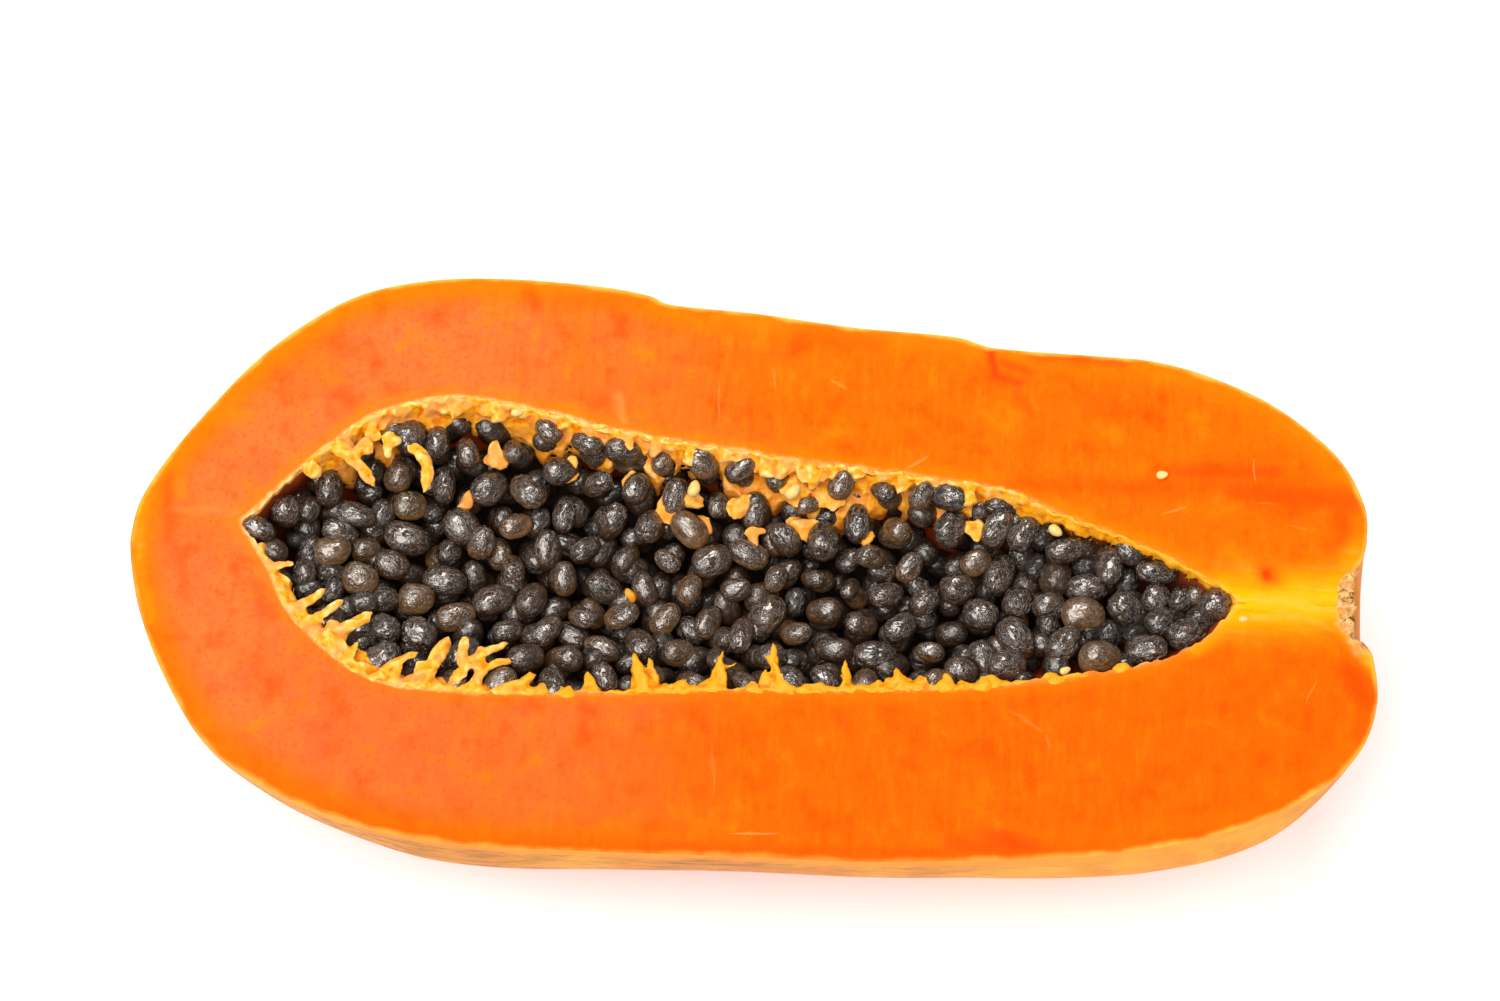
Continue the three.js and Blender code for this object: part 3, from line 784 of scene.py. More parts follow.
def flesh_material():
    s = Shader("papaya_flesh")
    place = s.attribute("place", vector=True)
    cavity_gap = s.attribute("cavity_gap")

    # Broad zones of the flesh, then patches, flecks and speckles.
    broad = s.noise(place, 30, rough=0.6, twist=0.3)
    patches = s.noise(place, 8, detail=5, rough=0.62, twist=0.25)
    salmon = s.times(s.attribute("salmon"), s.step(broad, 0.3, 0.5, 0.45, 1.0))
    s.base = s.mix(FLESH, FLESH_SALMON, salmon)
    blush = s.step(s.noise(place, 11, detail=4, rough=0.6), 0.48, 0.68, 0, 0.38)
    s.paint(FLESH_PINK, blush, salmon)
    s.paint(FLESH_DEEP, s.step(patches, 0.5, 0.72, 0, 0.6))
    s.paint(FLESH_BRIGHT, s.step(patches, 0.47, 0.3, 0, 0.6))
    flecks = s.noise(place, 3.2, rough=0.55, twist=0.3)
    s.paint(FLESH_DEEP, s.step(flecks, 0.52, 0.8, 0, 0.3))
    s.paint(FIBRE, s.step(flecks, 0.46, 0.2, 0, 0.15))
    speckles = s.noise(place, 1.1, detail=2, rough=0.6)
    speckled = s.step(s.attribute("salmon"), 0, 1, 0.3, 1)
    s.paint(FLESH_DEEP, s.step(speckles, 0.52, 0.72, 0, 0.42), speckled)
    # Pale fibres run from the rim towards the cavity, most of them faint.
    fibrous = s.attribute("fibrous")
    threads = s.noise(s.scaled(place, (1, 0.2, 1)), 1.5, detail=2, twist=0.2)
    s.paint(FIBRE, s.step(threads, 0.5, 0.8, 0, 0.2), fibrous)
    s.paint(FLESH_DEEP, s.step(threads, 0.48, 0.2, 0, 0.35), fibrous)
    wisps = s.noise(s.scaled(place, (1, 0.35, 1)), 4.2, detail=4, rough=0.6, twist=0.1)
    s.paint(FIBRE, s.step(wisps, 0.58, 0.85, 0, 0.35), fibrous)
    # Under the skin the flesh is yellower, or redder where the rim isn't light. It is yellower next
    # to the cavity too.
    wander = s.wander(place, 7, 2.4)
    rim_gap = s.plus(s.attribute("rim_gap"), wander)
    rim_light = s.attribute("rim_light")
    s.paint(FLESH_BRIGHT, s.step(rim_gap, 7.0, 0.8, 0, 0.6), rim_light)
    s.paint(FLESH_DEEP, s.step(rim_gap, 4.5, 1.0, 0, 0.5), s.minus(1.0, rim_light))
    bent_gap = s.plus(cavity_gap, s.times(wander, 1.4))
    s.paint(FLESH_BRIGHT, s.step(bent_gap, 4.5, 0.6, 0, 0.6))
    # Single marks, the yellow strands at the stem among them.
    s.paint(FLESH_DEEP, s.attribute("deep"))
    yellow = s.attribute("yellow")
    strand_bundle = s.noise(s.scaled(place, (0.12, 1, 1)), 1.7, rough=0.6, twist=0.2)
    s.paint(VEIN_YELLOW, yellow)
    s.paint(PALE_MARK, s.step(strand_bundle, 0.5, 0.7, 0, 0.4), yellow)
    s.paint(FLESH_BRIGHT, s.step(strand_bundle, 0.47, 0.3, 0, 0.55), yellow)
    s.paint(FLESH_RED, s.attribute("red"))
    s.paint(PALE_MARK, s.attribute("pale"))
    bends = s.noise(place, 3.0, detail=2, output="Color")
    bent = s.vector_math("ADD", place, s.scaled(bends, (0.9, 0.9, 0)))
    for x0, y0, x1, y1, radius, strength in FINE_MARKS:
        start = (x0 + FINE_MARK_SHIFT, y0 + FINE_MARK_SHIFT, 0)
        end = (x1 + FINE_MARK_SHIFT, y1 + FINE_MARK_SHIFT, 0)
        s.paint(PALE_MARK, s.stroke(bent, start, end, radius, strength))
    s.paint(RIND_LINE, s.step(rim_gap, 1.2, -0.4), s.step(rim_light, 0, 1, 0.2, 0.9))
    # The cavity's edge and wall.
    lumps = s.noise(place, 2.0, detail=4, rough=0.6, twist=0.5)
    wall = s.mix(PLACENTA, PLACENTA_PALE_AND_HIGHLIGHT, s.step(lumps, 0.4, 0.62))
    wall = s.mix(wall, WALL_RED, s.step(cavity_gap, -0.8, -3.5, 0, 0.9))
    # Deeper in the cavity the wall is painted darker: painted shade.
    wall = s.mix(wall, PLACENTA_IN_SHADE, s.step(cavity_gap, -4.0, -10.0, 0, 0.9))
    shade = s.attribute("shade")
    wall = s.mix(wall, WALL_SHADE, s.step(cavity_gap, -0.5, -1.6), shade)
    wall = s.mix(wall, WALL_DARK, s.step(cavity_gap, -2.0, -6.0), shade)
    inside = s.step(s.plus(cavity_gap, s.times(wander, 0.3)), 0.35, -0.2)
    s.paint(wall, inside)
    crest_band = s.times(s.step(cavity_gap, 1.3, 0.1), s.step(cavity_gap, -1.2, -0.2))
    crest = s.times(crest_band, s.attribute("crest"))
    s.paint(CREAM_AND_HIGHLIGHT, crest, s.step(lumps, 0.36, 0.56, 0.35, 1.0))
    s.paint(cork_colour(s, place), s.attribute("cork"))

    s.set(Base_Color=s.base, Roughness=s.step(patches, 0.3, 0.7, 0.4, 0.52), Specular_IOR_Level=0.02)
    s.set(Subsurface_Weight=0.3, Subsurface_Radius=(1.0, 0.32, 0.08), Subsurface_Scale=0.002)
    grain = s.noise(place, 0.9, rough=0.6)
    relief = s.bump(s.noise(place, 4, rough=0.6, twist=0.5), 0.3)
    s.set(Normal=s.bump(grain, 0.06, normal=relief))
    return s.material


def skin_material():
    s = Shader("papaya_skin")
    place = s.attribute("place", vector=True)
    broad = s.noise(place, 30, detail=4, rough=0.55, twist=0.5)
    s.base = s.mix(SKIN_YELLOW, SKIN_ORANGE, s.step(broad, 0.38, 0.62))
    # Fine grey-green mottles, drawn out lengthwise; there are few of them towards the stem.
    drawn_out = s.scaled(place, (0.16, 1, 1))
    streaks = s.noise(drawn_out, 1.8, detail=6, rough=0.7, twist=0.4)
    where_green = s.noise(place, 24)
    greenness = s.times(s.step(where_green, 0.38, 0.6, 0.6, 1.0), s.attribute("mottled"))
    s.paint(SKIN_TAN, greenness, 0.55)
    s.paint(SKIN_GREEN, s.step(streaks, 0.44, 0.64, 0, 0.75), greenness)
    grain = s.noise(drawn_out, 0.7, detail=4, rough=0.6)
    s.paint(SKIN_SPECK, s.step(grain, 0.48, 0.66, 0, 0.45), greenness)
    nicks = s.noise(s.scaled(place, (0.3, 1, 1)), 2.6, detail=4, rough=0.7)
    s.paint(SKIN_SPECK, s.step(nicks, 0.66, 0.71, 0, 0.8))
    # The rind is cream and then orange right under the cut.
    wander = s.wander(place, 5, 5.0, detail=4, rough=0.6)
    depth = s.plus(s.attribute("depth"), wander)
    s.paint(SKIN_RIM, s.step(depth, 5.0, 1.0, 0, 0.7))
    s.paint(RIND_LINE, s.step(depth, 1.2, -0.8, 0, 0.6))
    s.paint(cork_colour(s, place), s.attribute("cork"))
    s.set(Base_Color=s.base, Roughness=s.step(streaks, 0.3, 0.7, 0.5, 0.62), Specular_IOR_Level=0.12)
    s.set(Subsurface_Weight=0.1, Subsurface_Radius=(1.0, 0.45, 0.15), Subsurface_Scale=0.0015)
    relief = s.bump(s.noise(place, 2.2, detail=4, rough=0.6), 0.12)
    s.set(Normal=s.bump(grain, 0.05, normal=relief))
    return s.material


def seed_material():
    s = Shader("papaya_seed")
    spot = s.attribute("spot", vector=True)
    rise = s.attribute("rise")
    tint = s.attribute("tint")
    gel = s.attribute("gel")
    relief = s.attribute("relief")
    lengthwise = s.scaled(spot, (0.6, 1, 1))
    wrinkles = s.noise(lengthwise, 1.0, twist=0.8)
    folds = s.step(s.math("ABSOLUTE", s.minus(wrinkles, 0.5)), 0.0, 0.07)
    testa = s.mix(TESTA, TESTA_BROWN, tint)
    # The wrinkles' crests are painted paler: partly their own paler tone, partly a painted highlight on
    # the ridges.
    testa = s.mix(testa, TESTA_CREST_AND_HIGHLIGHT, s.step(relief, 0.4, 1.0, 0.0, 0.4), folds)
    jelly = s.mix(JELLY, JELLY_PALE, s.step(tint, 0.5, 1.0))
    jelly = s.mix(jelly, TESTA_BROWN, s.minus(1.0, folds), 0.55)
    uneven = s.plus(rise, s.times(s.noise(spot, 1.8), 0.3))
    ring = s.times(s.step(uneven, 0.92, 0.3), s.step(gel, 0.0, 0.8, 0.45, 1.0))
    thick = s.math("MAXIMUM", ring, s.times(gel, 0.35), clamp=True)
    # The lower a seed lies, the darker it is painted and the weaker its coat: painted shade.
    painted_shade = s.attribute("painted_shade")
    s.base = s.mix(testa, jelly, thick)
    s.paint(SHADE_TONE, painted_shade)
    s.set(Base_Color=s.base, Roughness=0.5, Specular_IOR_Level=0.15)
    # The flanks, deep between the neighbours, catch less light.
    coat_weight = s.times(s.step(painted_shade, 0, 1, 1, 0.15), s.step(rise, -0.2, 0.6, 0.15, 1.0))
    s.set(Coat_Weight=coat_weight, Coat_Roughness=0.06, Coat_IOR=2.2)
    # The coat is wavy where there is jelly, and dips into the wrinkles where there is little.
    waves = s.noise(lengthwise, 2.0, detail=2, twist=0.3)
    dryness = s.step(gel, 0.75, 0.1, 0.35, 1.0)
    coat = s.plus(s.times(waves, 1.5), s.times(folds, dryness))
    s.set(Normal=s.bump(folds, 0.08), Coat_Normal=s.bump(coat, 0.14))
    return s.material


def shade_sheet_material():
    """A dark sheet under the seeds, which stands in for the shade deep among them: painted shade."""
    s = Shader("papaya_shade_sheet")
    place = s.attribute("place", vector=True)
    tone = s.mix(SHADE_TONE, colour(30, 20, 12), s.noise(place, 4))
    s.set(Base_Color=tone, Roughness=0.6, Specular_IOR_Level=0.08)
    s.set(Normal=s.bump(s.noise(place, 2.0), 0.3))
    return s.material


def placenta_material():
    s = Shader("papaya_placenta")
    place = s.attribute("place", vector=True)
    depth = s.attribute("depth")
    wander = s.wander(place, 1.7, 0.9, detail=4, rough=0.6)
    bulge = s.plus(s.attribute("bulge"), wander)
    # The hollows between the lumps are painted a darker orange as painted shade, and the bulges paler
    # and cream as painted highlights.
    s.base = s.mix(PLACENTA_HOLLOW_SHADE, PLACENTA, s.step(bulge, -0.16, 0.02))
    creamy = s.attribute("creamy")
    s.paint(PLACENTA_PALE_AND_HIGHLIGHT, s.step(bulge, 0.0, 0.2, 0, 0.85), s.step(creamy, 0, 1, 0.14, 1))
    patches = s.times(s.step(s.noise(place, 6.0), 0.4, 0.6, 0.25, 1.0), creamy)
    s.paint(CREAM_AND_HIGHLIGHT, s.step(bulge, 0.1, 0.32), patches)
    s.paint(PULP_TAN, s.step(s.noise(place, 4.5, rough=0.6), 0.48, 0.62, 0, 0.6), creamy)
    # Deeper below the cut the tissue is painted darker: painted shade.
    s.paint(PULP_IN_SHADE, s.step(depth, 3.0, 8.0, 0, 0.5))
    s.paint(PLACENTA_IN_SHADE, s.step(depth, 8.0, 11.0, 0, 0.8))
    s.set(Base_Color=s.base, Roughness=0.42, Specular_IOR_Level=0.2)
    s.set(Subsurface_Weight=0.35, Subsurface_Radius=(1.0, 0.5, 0.15), Subsurface_Scale=0.0012)
    s.set(Normal=s.bump(s.noise(place, 0.9, detail=4), 0.2))
    return s.material


def ovule_material():
    s = Shader("papaya_ovule")
    place = s.attribute("place", vector=True)
    blush = s.noise(place, 1.6)
    s.base = s.mix(OVULE, colour(250, 196, 112), s.step(blush, 0.45, 0.65, 0, 0.6))
    s.set(Base_Color=s.base, Roughness=0.35, Specular_IOR_Level=0.4)
    s.set(Subsurface_Weight=0.4, Subsurface_Radius=(1.0, 0.7, 0.4), Subsurface_Scale=0.001)
    s.set(Normal=s.bump(s.noise(place, 0.9), 0.08))
    return s.material


# ---- seeds ----


def keep_in_cavity(places):
    """Moves the places that lie too near the cavity's edge back from it."""
    low, high = CAVITY_START[0] + TIP_ROOM[0], CAVITY_END[0] - TIP_ROOM[1]
    places[:, 0] = np.clip(places[:, 0], low, high)
    near = near_edge(places[:, 0]) + SEED_INSET
    far = far_edge(places[:, 0]) - SEED_INSET
    places[:, 1] = np.where(far > near, np.clip(places[:, 1], near, far), (near + far) / 2)


def spread_places(count, first=1):
    """Places spread evenly over the cavity, by steps of the plastic number's inverse powers."""
    plastic = 1.32471795724
    lowest = min(y for _, y in CAVITY_NEAR)
    highest = max(y for _, y in CAVITY_FAR)
    places, k = [], first
    while len(places) < count:
        x = CAVITY_START[0] + (k / plastic) % 1 * CAVITY_LENGTH
        y = lowest + (k / plastic**2) % 1 * (highest - lowest)
        if near_edge(x) + SEED_INSET < y < far_edge(x) - SEED_INSET:
            places.append((x, y))
        k += 1
    return np.array(places)


def packed_places(places, spacing, rounds=60, push_share=0.3):
    """The places, pushed apart until the seeds lie packed."""
    for _ in range(rounds):
        gaps = places[:, None, :] - places[None, :, :]
        distance = np.linalg.norm(gaps, axis=2)
        near = (distance > 1e-6) & (distance <= spacing)
        pull = np.where(near, push_share * (spacing - distance) / np.maximum(distance, 1e-6), 0)
        places = places + (gaps * pull[:, :, None]).sum(1)
        keep_in_cavity(places)
    return places


def has_jelly(kind):
    """Three kinds of seed in five lie in a smooth coat of jelly; the others are wrinkled."""
    return kind % 5 < 3


def seed_shape(kind, rings, around):
    """A unit seed with its poles on x, as points, faces and each point's relief from 0 to 1."""
    points, faces = ball(rings, around)
    points = np.roll(points, 1, axis=1)
    wrinkle_depth = JELLY_WRINKLES if has_jelly(kind) else DRY_WRINKLES
    shift = 31.7 * kind
    # Grooves between the wrinkles run mostly lengthwise.
    stretched = points * (1.5, 2.6, 2.6)
    relief = smoothstep(0.0, 0.32, np.abs(noise_at(stretched, 1.0, shift, 2)))
    bulges = noise_at(points, 1.1, shift + 3)
    radius = 1 + wrinkle_depth * (relief - 0.7) + 0.07 * bulges
    egg = 1 - 0.06 * points[:, 0]
    across = np.linalg.norm(points[:, 1:], axis=1)
    fullness = (np.abs(points[:, 0]) ** SEED_BLUNT + across**SEED_BLUNT) ** (-1 / SEED_BLUNT)
    shaped = points * (radius * fullness)[:, None]
    shaped[:, 1:] *= egg[:, None]
    shaped[:, 2] *= 0.86 + 0.2 * ((kind * 0.37) % 1)
    return shaped, faces, relief


SEED_KINDS = 15
JELLY_WRINKLES, DRY_WRINKLES = 0.035, 0.075  # their depth, as a share of the seed's radius
SEED_BLUNT = 2.35  # 2 gives an ellipsoid, and more gives blunter ends
# At both ends of the cavity each top seed has its own place and size:
# x, y, length, width, turn, how far it lies below the others, and its share of jelly.
TIP_SEEDS_TO, STEM_SEEDS_FROM = 62, 166  # the ends reach to here
END_SEEDS = [
    (25, 4.8, 7.2, 5.4, -0.5, 0, 0.1), (27.9, 1.1, 6.4, 5.8, -0.6, 1, 0.8),
    (30, 9.7, 6.4, 6, 1.4, 0, 0.1), (34.1, 11.2, 6, 4.9, 1.3, 0.8, 0.4),
    (38, 15.3, 7.4, 5.6, 1.5, -0.6, 0.1), (38.1, 11.1, 4.4, 3.7, 0, 2, 0.1),
    (43.4, 11.2, 9, 5.8, -0.2, 0, 0.2), (48.8, 12.3, 6.4, 5.2, 1.4, 0.8, 0.3),
    (40.7, 7.2, 7.6, 5.2, -0.3, 0.4, 0.2), (32.4, 5.1, 5.2, 4.1, 0, 2.2, 0.3),
    (35.1, 3.1, 6, 4.9, 1.2, 0.8, 0.2), (39.5, 2.9, 7.6, 6.6, 0.2, -0.4, 0.9),
    (45.9, 4.4, 6, 5.4, 0.3, 0.6, 0.7), (34.5, -2.6, 6, 4.9, 1.4, 0.4, 0.1),
    (39.5, -1.7, 6.4, 5.2, 0.1, 1, 0.2), (45.4, -2.4, 7.4, 6.8, -0.3, 0, 0.6),
    (35.6, -6, 6, 4.1, 0.3, 1.2, 0.1), (40.1, -5.7, 6, 4.9, 1.4, 1, 0.1),
    (40.2, -12.8, 6.8, 6.4, 0.3, 0, 0.2), (46.6, -7.6, 6.8, 4.9, 0.2, 0.8, 0.3),
    (50.8, -6.2, 5.8, 5.2, 0.3, 0.8, 0.2), (51.4, -13.3, 6.8, 6, -0.3, 0, 0.2),
    (47, -16.9, 6.4, 5.2, 0.2, 0.8, 0.1), (51.7, -20.8, 8.2, 6.4, 0.7, -0.5, 0.1),
    (58.4, -13.6, 7.6, 6.4, -0.5, 0.4, 0.3), (59, -21.5, 5.6, 4.9, -0.8, 1.2, 0.1),
    (65.2, -9.2, 8.2, 5.6, 0.3, 0.2, 0.7), (67.6, -18, 8.2, 5.2, 0.9, -0.2, 0.1),
    (57, -5.7, 7.2, 6.4, 0.1, 0, 0.7), (51.4, 1.4, 7.4, 6.4, -0.3, 0, 0.5),
    (54.1, 7.3, 9.4, 6.8, -0.35, 0, 0.4), (54.2, 14.2, 6.8, 6, 0.2, 0.2, 0.6),
    (51.4, 19.8, 6.4, 6, 1.4, 0.2, 0.8), (46.1, 20.5, 5.6, 4.9, 1.4, 1.4, 0.2),
    (53.5, 27.2, 7.4, 6.4, 1.1, -0.4, 0.1), (58.9, 26.7, 7.6, 5.2, 1.6, 0, 0.1),
    (60.8, 18.7, 7.8, 5.6, 1.6, 0, 0.2), (59, 13.7, 5.2, 4.5, 1.4, 1.2, 0.3),
    (64.8, 10.5, 8.2, 7.4, -0.9, 0, 0.5), (62.7, 5.3, 5.6, 5.2, 1.2, 1, 0.1),
    (62.2, -1.2, 9, 6.6, -0.1, 0.2, 0.4), (168.7, 7.4, 6.4, 5.8, 0.6, 0.2, 0.7),
    (165.3, 1.8, 7.2, 6.4, 0.2, 0, 0.1), (170.1, -3.5, 7.2, 6.2, -0.3, 0.3, 0.1),
    (166.5, -16.8, 6.8, 6.2, -0.4, 0.2, 0.5), (162.9, 19.7, 8.8, 6.4, -0.3, -0.2, 0.1),
    (163.6, 13.7, 8.2, 7, 1.1, 0, 0.1), (171.4, 2.1, 5.6, 4.9, 1.2, 1.8, 0.1),
    (170.4, 11.2, 5.6, 4.9, 0.4, 2, 0.1), (216.4, -0.8, 7, 6.6, 1.2, 0, 0.1),
    (209.7, 0.7, 5.6, 5.2, 1.2, 0.4, 0.1), (204.8, 0.8, 6.4, 6, 1.2, 0, 0.2),
    (204.9, 6, 8.4, 5.6, 0.05, 0.2, 0.1), (195.2, 7.1, 8.6, 5.8, 1.7, -0.5, 0.1),
    (199.2, 9.8, 6.4, 5.4, -0.7, 0.6, 0.1), (199.2, 4.3, 6.8, 5.4, 1.4, 1.2, 0.1),
    (191.1, 2.7, 8.6, 6.2, 0.1, 0.4, 0.1), (198.9, -1.4, 7.4, 6.8, -0.8, 0.2, 0.1),
    (190.4, -3.1, 8.6, 7.2, 0, -0.3, 0.85), (203.1, -10.7, 8.6, 6.6, 0.1, 0, 0.2),
    (206.1, -4.1, 6.8, 5.8, 0.4, 0.8, 0.1), (211.3, -6.7, 8.6, 6.6, 0.45, 0.2, 0.1),
    (214.1, -3.3, 6.8, 5.8, 0.4, 1, 0.1), (183.8, -1.2, 7, 6, 0.1, 0.2, 0.3),
    (183.8, -5, 5.6, 4.9, -1.2, 1.2, 0.1), (186.7, -10, 8.4, 6.6, 0.8, -0.2, 0.1),
    (193.8, -13, 8.4, 7.6, 0.1, -0.3, 0.7), (195.7, -6.9, 6, 5.4, 1.4, 1.2, 0.1),
    (177.2, -8.7, 9.4, 6.4, -0.9, -0.3, 0.2), (177.4, -0.6, 6.8, 6.2, 1.2, 0.4, 0.2),
    (186.5, 9.9, 8, 5.8, 0.2, 0, 0.1), (184.9, 4.9, 7.2, 6.6, 1.4, 1.2, 0.6),
    (180.8, 7.1, 6, 5.2, 1.2, 1.4, 0.1), (182.3, 13.2, 6.8, 5.6, 0.8, 1.6, 0.1),
    (178.2, 13.2, 8.4, 5.8, 1, 0.2, 0.1), (172.8, 14.2, 8.8, 6, 1.1, 0, 0.1),
    (173.6, 18.7, 7.2, 4.9, 0.1, 0.8, 0.2), (173.6, 5, 9.2, 6.6, 1.2, 0, 0.1),
    (175.7, -15.3, 7.6, 6.4, 0.2, 0, 0.2), (171, -13.6, 7.6, 5.4, -1.1, 0.4, 0.1),
    (201, -6.4, 6, 5.4, 0.5, 1.6, 0.1), (190.7, 7.4, 5.6, 4.9, 0, 1.6, 0.1),
    (192.4, -6.6, 6, 5.4, 0, 2, 0.1), (208.7, -2.4, 5.6, 4.9, 0, 1.8, 0.1),
    (201.8, -3.1, 5.6, 4.9, 0.8, 1.8, 0.1),
]
END_SEED_ROOM = 5.0  # other seeds keep this far from them
TOP_SEED_STEPS = (28, 46)
TOP_SEED_DRAW = 20231  # the construction's own run of draws
SEED_LOOK_DRAW = 977
# The layers under the top seeds: depth below them, number of seeds, run of draws and how dark they are
# painted, as painted shade.
UNDER_LAYERS = {"second": (3.2, 180, 41, 0.45), "third": (6.2, 180, 97, 0.75)}
UNDER_SEED_STEPS = (11, 17)
UNDER_SEED_SPACING = 7.4
SHADE_SHEET_DEPTH = 10.0  # from the top seeds' middles down to the dark sheet of painted shade under the seeds
SHADE_SHEET_THICKNESS = 1.5
SHADE_SHEET_GRID = (121, 31)


def seed_part(shape, place, size, slim, pose, look):
    """One seed at its place (x, y, z), with its attributes.

    The pose is its turn, slant and roll. The look is its tint, its jelly and how much painted shade
    darkens it.
    """
    unit, faces, relief = shape
    turn, slant, roll = pose
    tint, gel, painted_shade = look
    scale = np.array([SEED_LENGTH, SEED_WIDTH * slim[0], SEED_WIDTH * slim[1]]) * size / 2
    rotation = (
        Matrix.Rotation(turn, 3, "Z") @ Matrix.Rotation(slant, 3, "Y") @ Matrix.Rotation(roll, 3, "X")
    )
    turned = (unit * scale) @ np.array(rotation).T
    highest = turned[:, 2].max()
    x, y, z = place
    points = turned + [x, y, min(z, HIGHEST - highest)]
    count = len(points)
    attributes = {
        "spot": unit * scale + 13.0 * tint,
        "rise": turned[:, 2] / highest,
        "tint": np.full(count, tint),
        "gel": np.full(count, gel),
        "painted_shade": np.full(count, painted_shade),
        "relief": relief,
    }
    return points, faces, attributes


def gel_share(kind, x, y):
    """How thick the jelly coat is; the seeds in the middle have more."""
    middle = cavity_middle(x)
    inner = 1 - abs(y - middle) / max(float(edge_reach(x, y > middle)), 1)
    return (0.95 if has_jelly(kind) else 0.2) * (0.6 + 0.4 * inner)


def bed_place(x, y, lift):
    """A seed's place over (x, y), lifted from where the middles of the top seeds lie."""
    return (x, y, float(bed_height(x, y)) + lift)


def top_seeds():
    """The top layer, with the seeds between the ends first and those at the ends after them."""
    looks = make_draw(SEED_LOOK_DRAW)
    shapes = [seed_shape(kind, *TOP_SEED_STEPS) for kind in range(SEED_KINDS)]
    return middle_seeds(shapes, looks) + end_seeds(shapes, looks)


def middle_seeds(shapes, looks):
    """The seeds between the ends, at the same places and slants as the construction's."""
    draw = make_draw(TOP_SEED_DRAW)
    parts = []
    for x, y in packed_places(spread_places(SEED_COUNT), SEED_SPACING):
        size = draw(*SEED_SIZES)
        turn = draw(0, math.pi)
        slant = draw(-SEED_SLANT, SEED_SLANT)
        place = bed_place(x, y, draw(-SEED_LIFT, SEED_LIFT))
        kind = int(looks(0, SEED_KINDS - 0.001))
        pose = (turn, slant, looks(0, 2 * math.pi))
        size *= looks(0.74, 1.04)
        slim = (looks(0.78, 1.02), looks(0.85, 1.0))
        gel = gel_share(kind, x, y) * looks(0.6, 1.0)
        look = (looks(), gel, 0.0)
        nearest = min(math.dist((x, y), seed[:2]) for seed in END_SEEDS)
        if TIP_SEEDS_TO < x < STEM_SEEDS_FROM and nearest > END_SEED_ROOM:
            parts.append(seed_part(shapes[kind], place, size, slim, pose, look))
    return parts


def end_seeds(shapes, looks):
    """The seeds at both ends of the cavity, each at a place of its own."""
    parts = []
    for x, y, length, width, turn, drop, jelly in END_SEEDS:
        # Of each five kinds, 0 and 1 have jelly, and 3 and 4 are wrinkled.
        kind = 5 * int(looks(0, 2.999)) + int(looks(0, 1.999)) + (3 if jelly < 0.5 else 0)
        size = length / SEED_LENGTH
        share = width / (SEED_WIDTH * size)
        slim = (share, share * looks(0.9, 1.0))
        pose = (turn, looks(-0.3, 0.3), looks(0, 2 * math.pi))
        tint = looks(0, 0.6) if jelly < 0.6 else looks(0.8, 1.0)
        # Seeds that lie lower are painted darker: painted shade.
        look = (tint, jelly, min(0.85, 0.5 * max(drop, 0)))
        parts.append(seed_part(shapes[kind], bed_place(x, y, -drop), size, slim, pose, look))
    return parts


def under_seeds(depth, count, seed, painted_shade):
    """A lower layer, which shows through the gaps, and is darker with painted shade."""
    draw = make_draw(seed)
    shapes = [seed_shape(kind, *UNDER_SEED_STEPS) for kind in range(SEED_KINDS)]
    parts = []
    for x, y in packed_places(spread_places(count, first=seed), UNDER_SEED_SPACING):
        height = float(bed_height(x, y)) - depth + draw(-0.8, 0.8)
        kind = int(draw(0, SEED_KINDS - 0.001))
        size = draw(0.7, 1.0)
        pose = (draw(0, math.pi), draw(-1.0, 1.0), draw(0, 2 * math.pi))
        # The layer is painted darker: painted shade.
        shade_share = painted_shade * draw(0.8, 1.15)
        look = (draw(), gel_share(kind, x, y), shade_share)
        parts.append(seed_part(shapes[kind], (x, y, height), size, (1, 1), pose, look))
    return parts


# ---- the placenta's tissue ----
#
# Fingers and lumps are modelled one by one, and then fused into one skin.

FINGER_STEPS = (9, 10)
LUMP_STEPS = (8, 12)
NEAR_TUFT_DRAW = 4711
FAR_TUFT_DRAW = 1907
NEAR_STRAND_DRAW = 1618
FAR_STRAND_DRAW = 2718
PULP_DRAW = 616
TISSUE_VOXEL = 0.00035  # metres
TISSUE_SMOOTHING = 4
TISSUE_BUMPS = 0.38

POINTED_FROM = 86  # from here to the stem the near tufts are pointed like flames
# Torn tufts on the near edge: x of the middle, width along the edge and usual length.
NEAR_TUFTS = [
    (34, 4, 2.5), (42.5, 5, 3), (48, 4, 3.5), (56, 4, 3), (62.5, 4, 3), (70, 5, 3.5), (80, 5, 3),
    (84, 3, 2.5), (89.6, 2.6, 3.1), (94, 2, 5.2), (105.8, 8, 16.2), (111, 5, 3.9), (118, 6, 12.3),
    (126, 4, 2.9), (132, 10, 10.4), (138, 4, 3.1), (144.7, 4, 9.8), (150, 4, 3.1), (155.5, 9, 8.5),
    (161.4, 7, 7.8), (167, 3, 3.1), (172, 5, 3.4), (184, 4, 2.9), (198, 4, 2.3),
]
# Curling lobes on the far edge, which hang over the seeds.
FAR_TUFTS = [
    (46, 6, 4), (62, 8, 3.5), (70, 5, 5), (76, 4, 2), (82, 7, 4), (90, 5, 2), (97, 4, 4.5), (104, 8, 3),
    (112, 4, 4.5), (119, 5, 2), (126, 8, 4.5), (131, 6, 6), (137, 7, 5), (143, 5, 2.5), (154, 7, 2.5),
    (165, 5, 4), (176, 5, 2), (188, 4, 1.2),
]
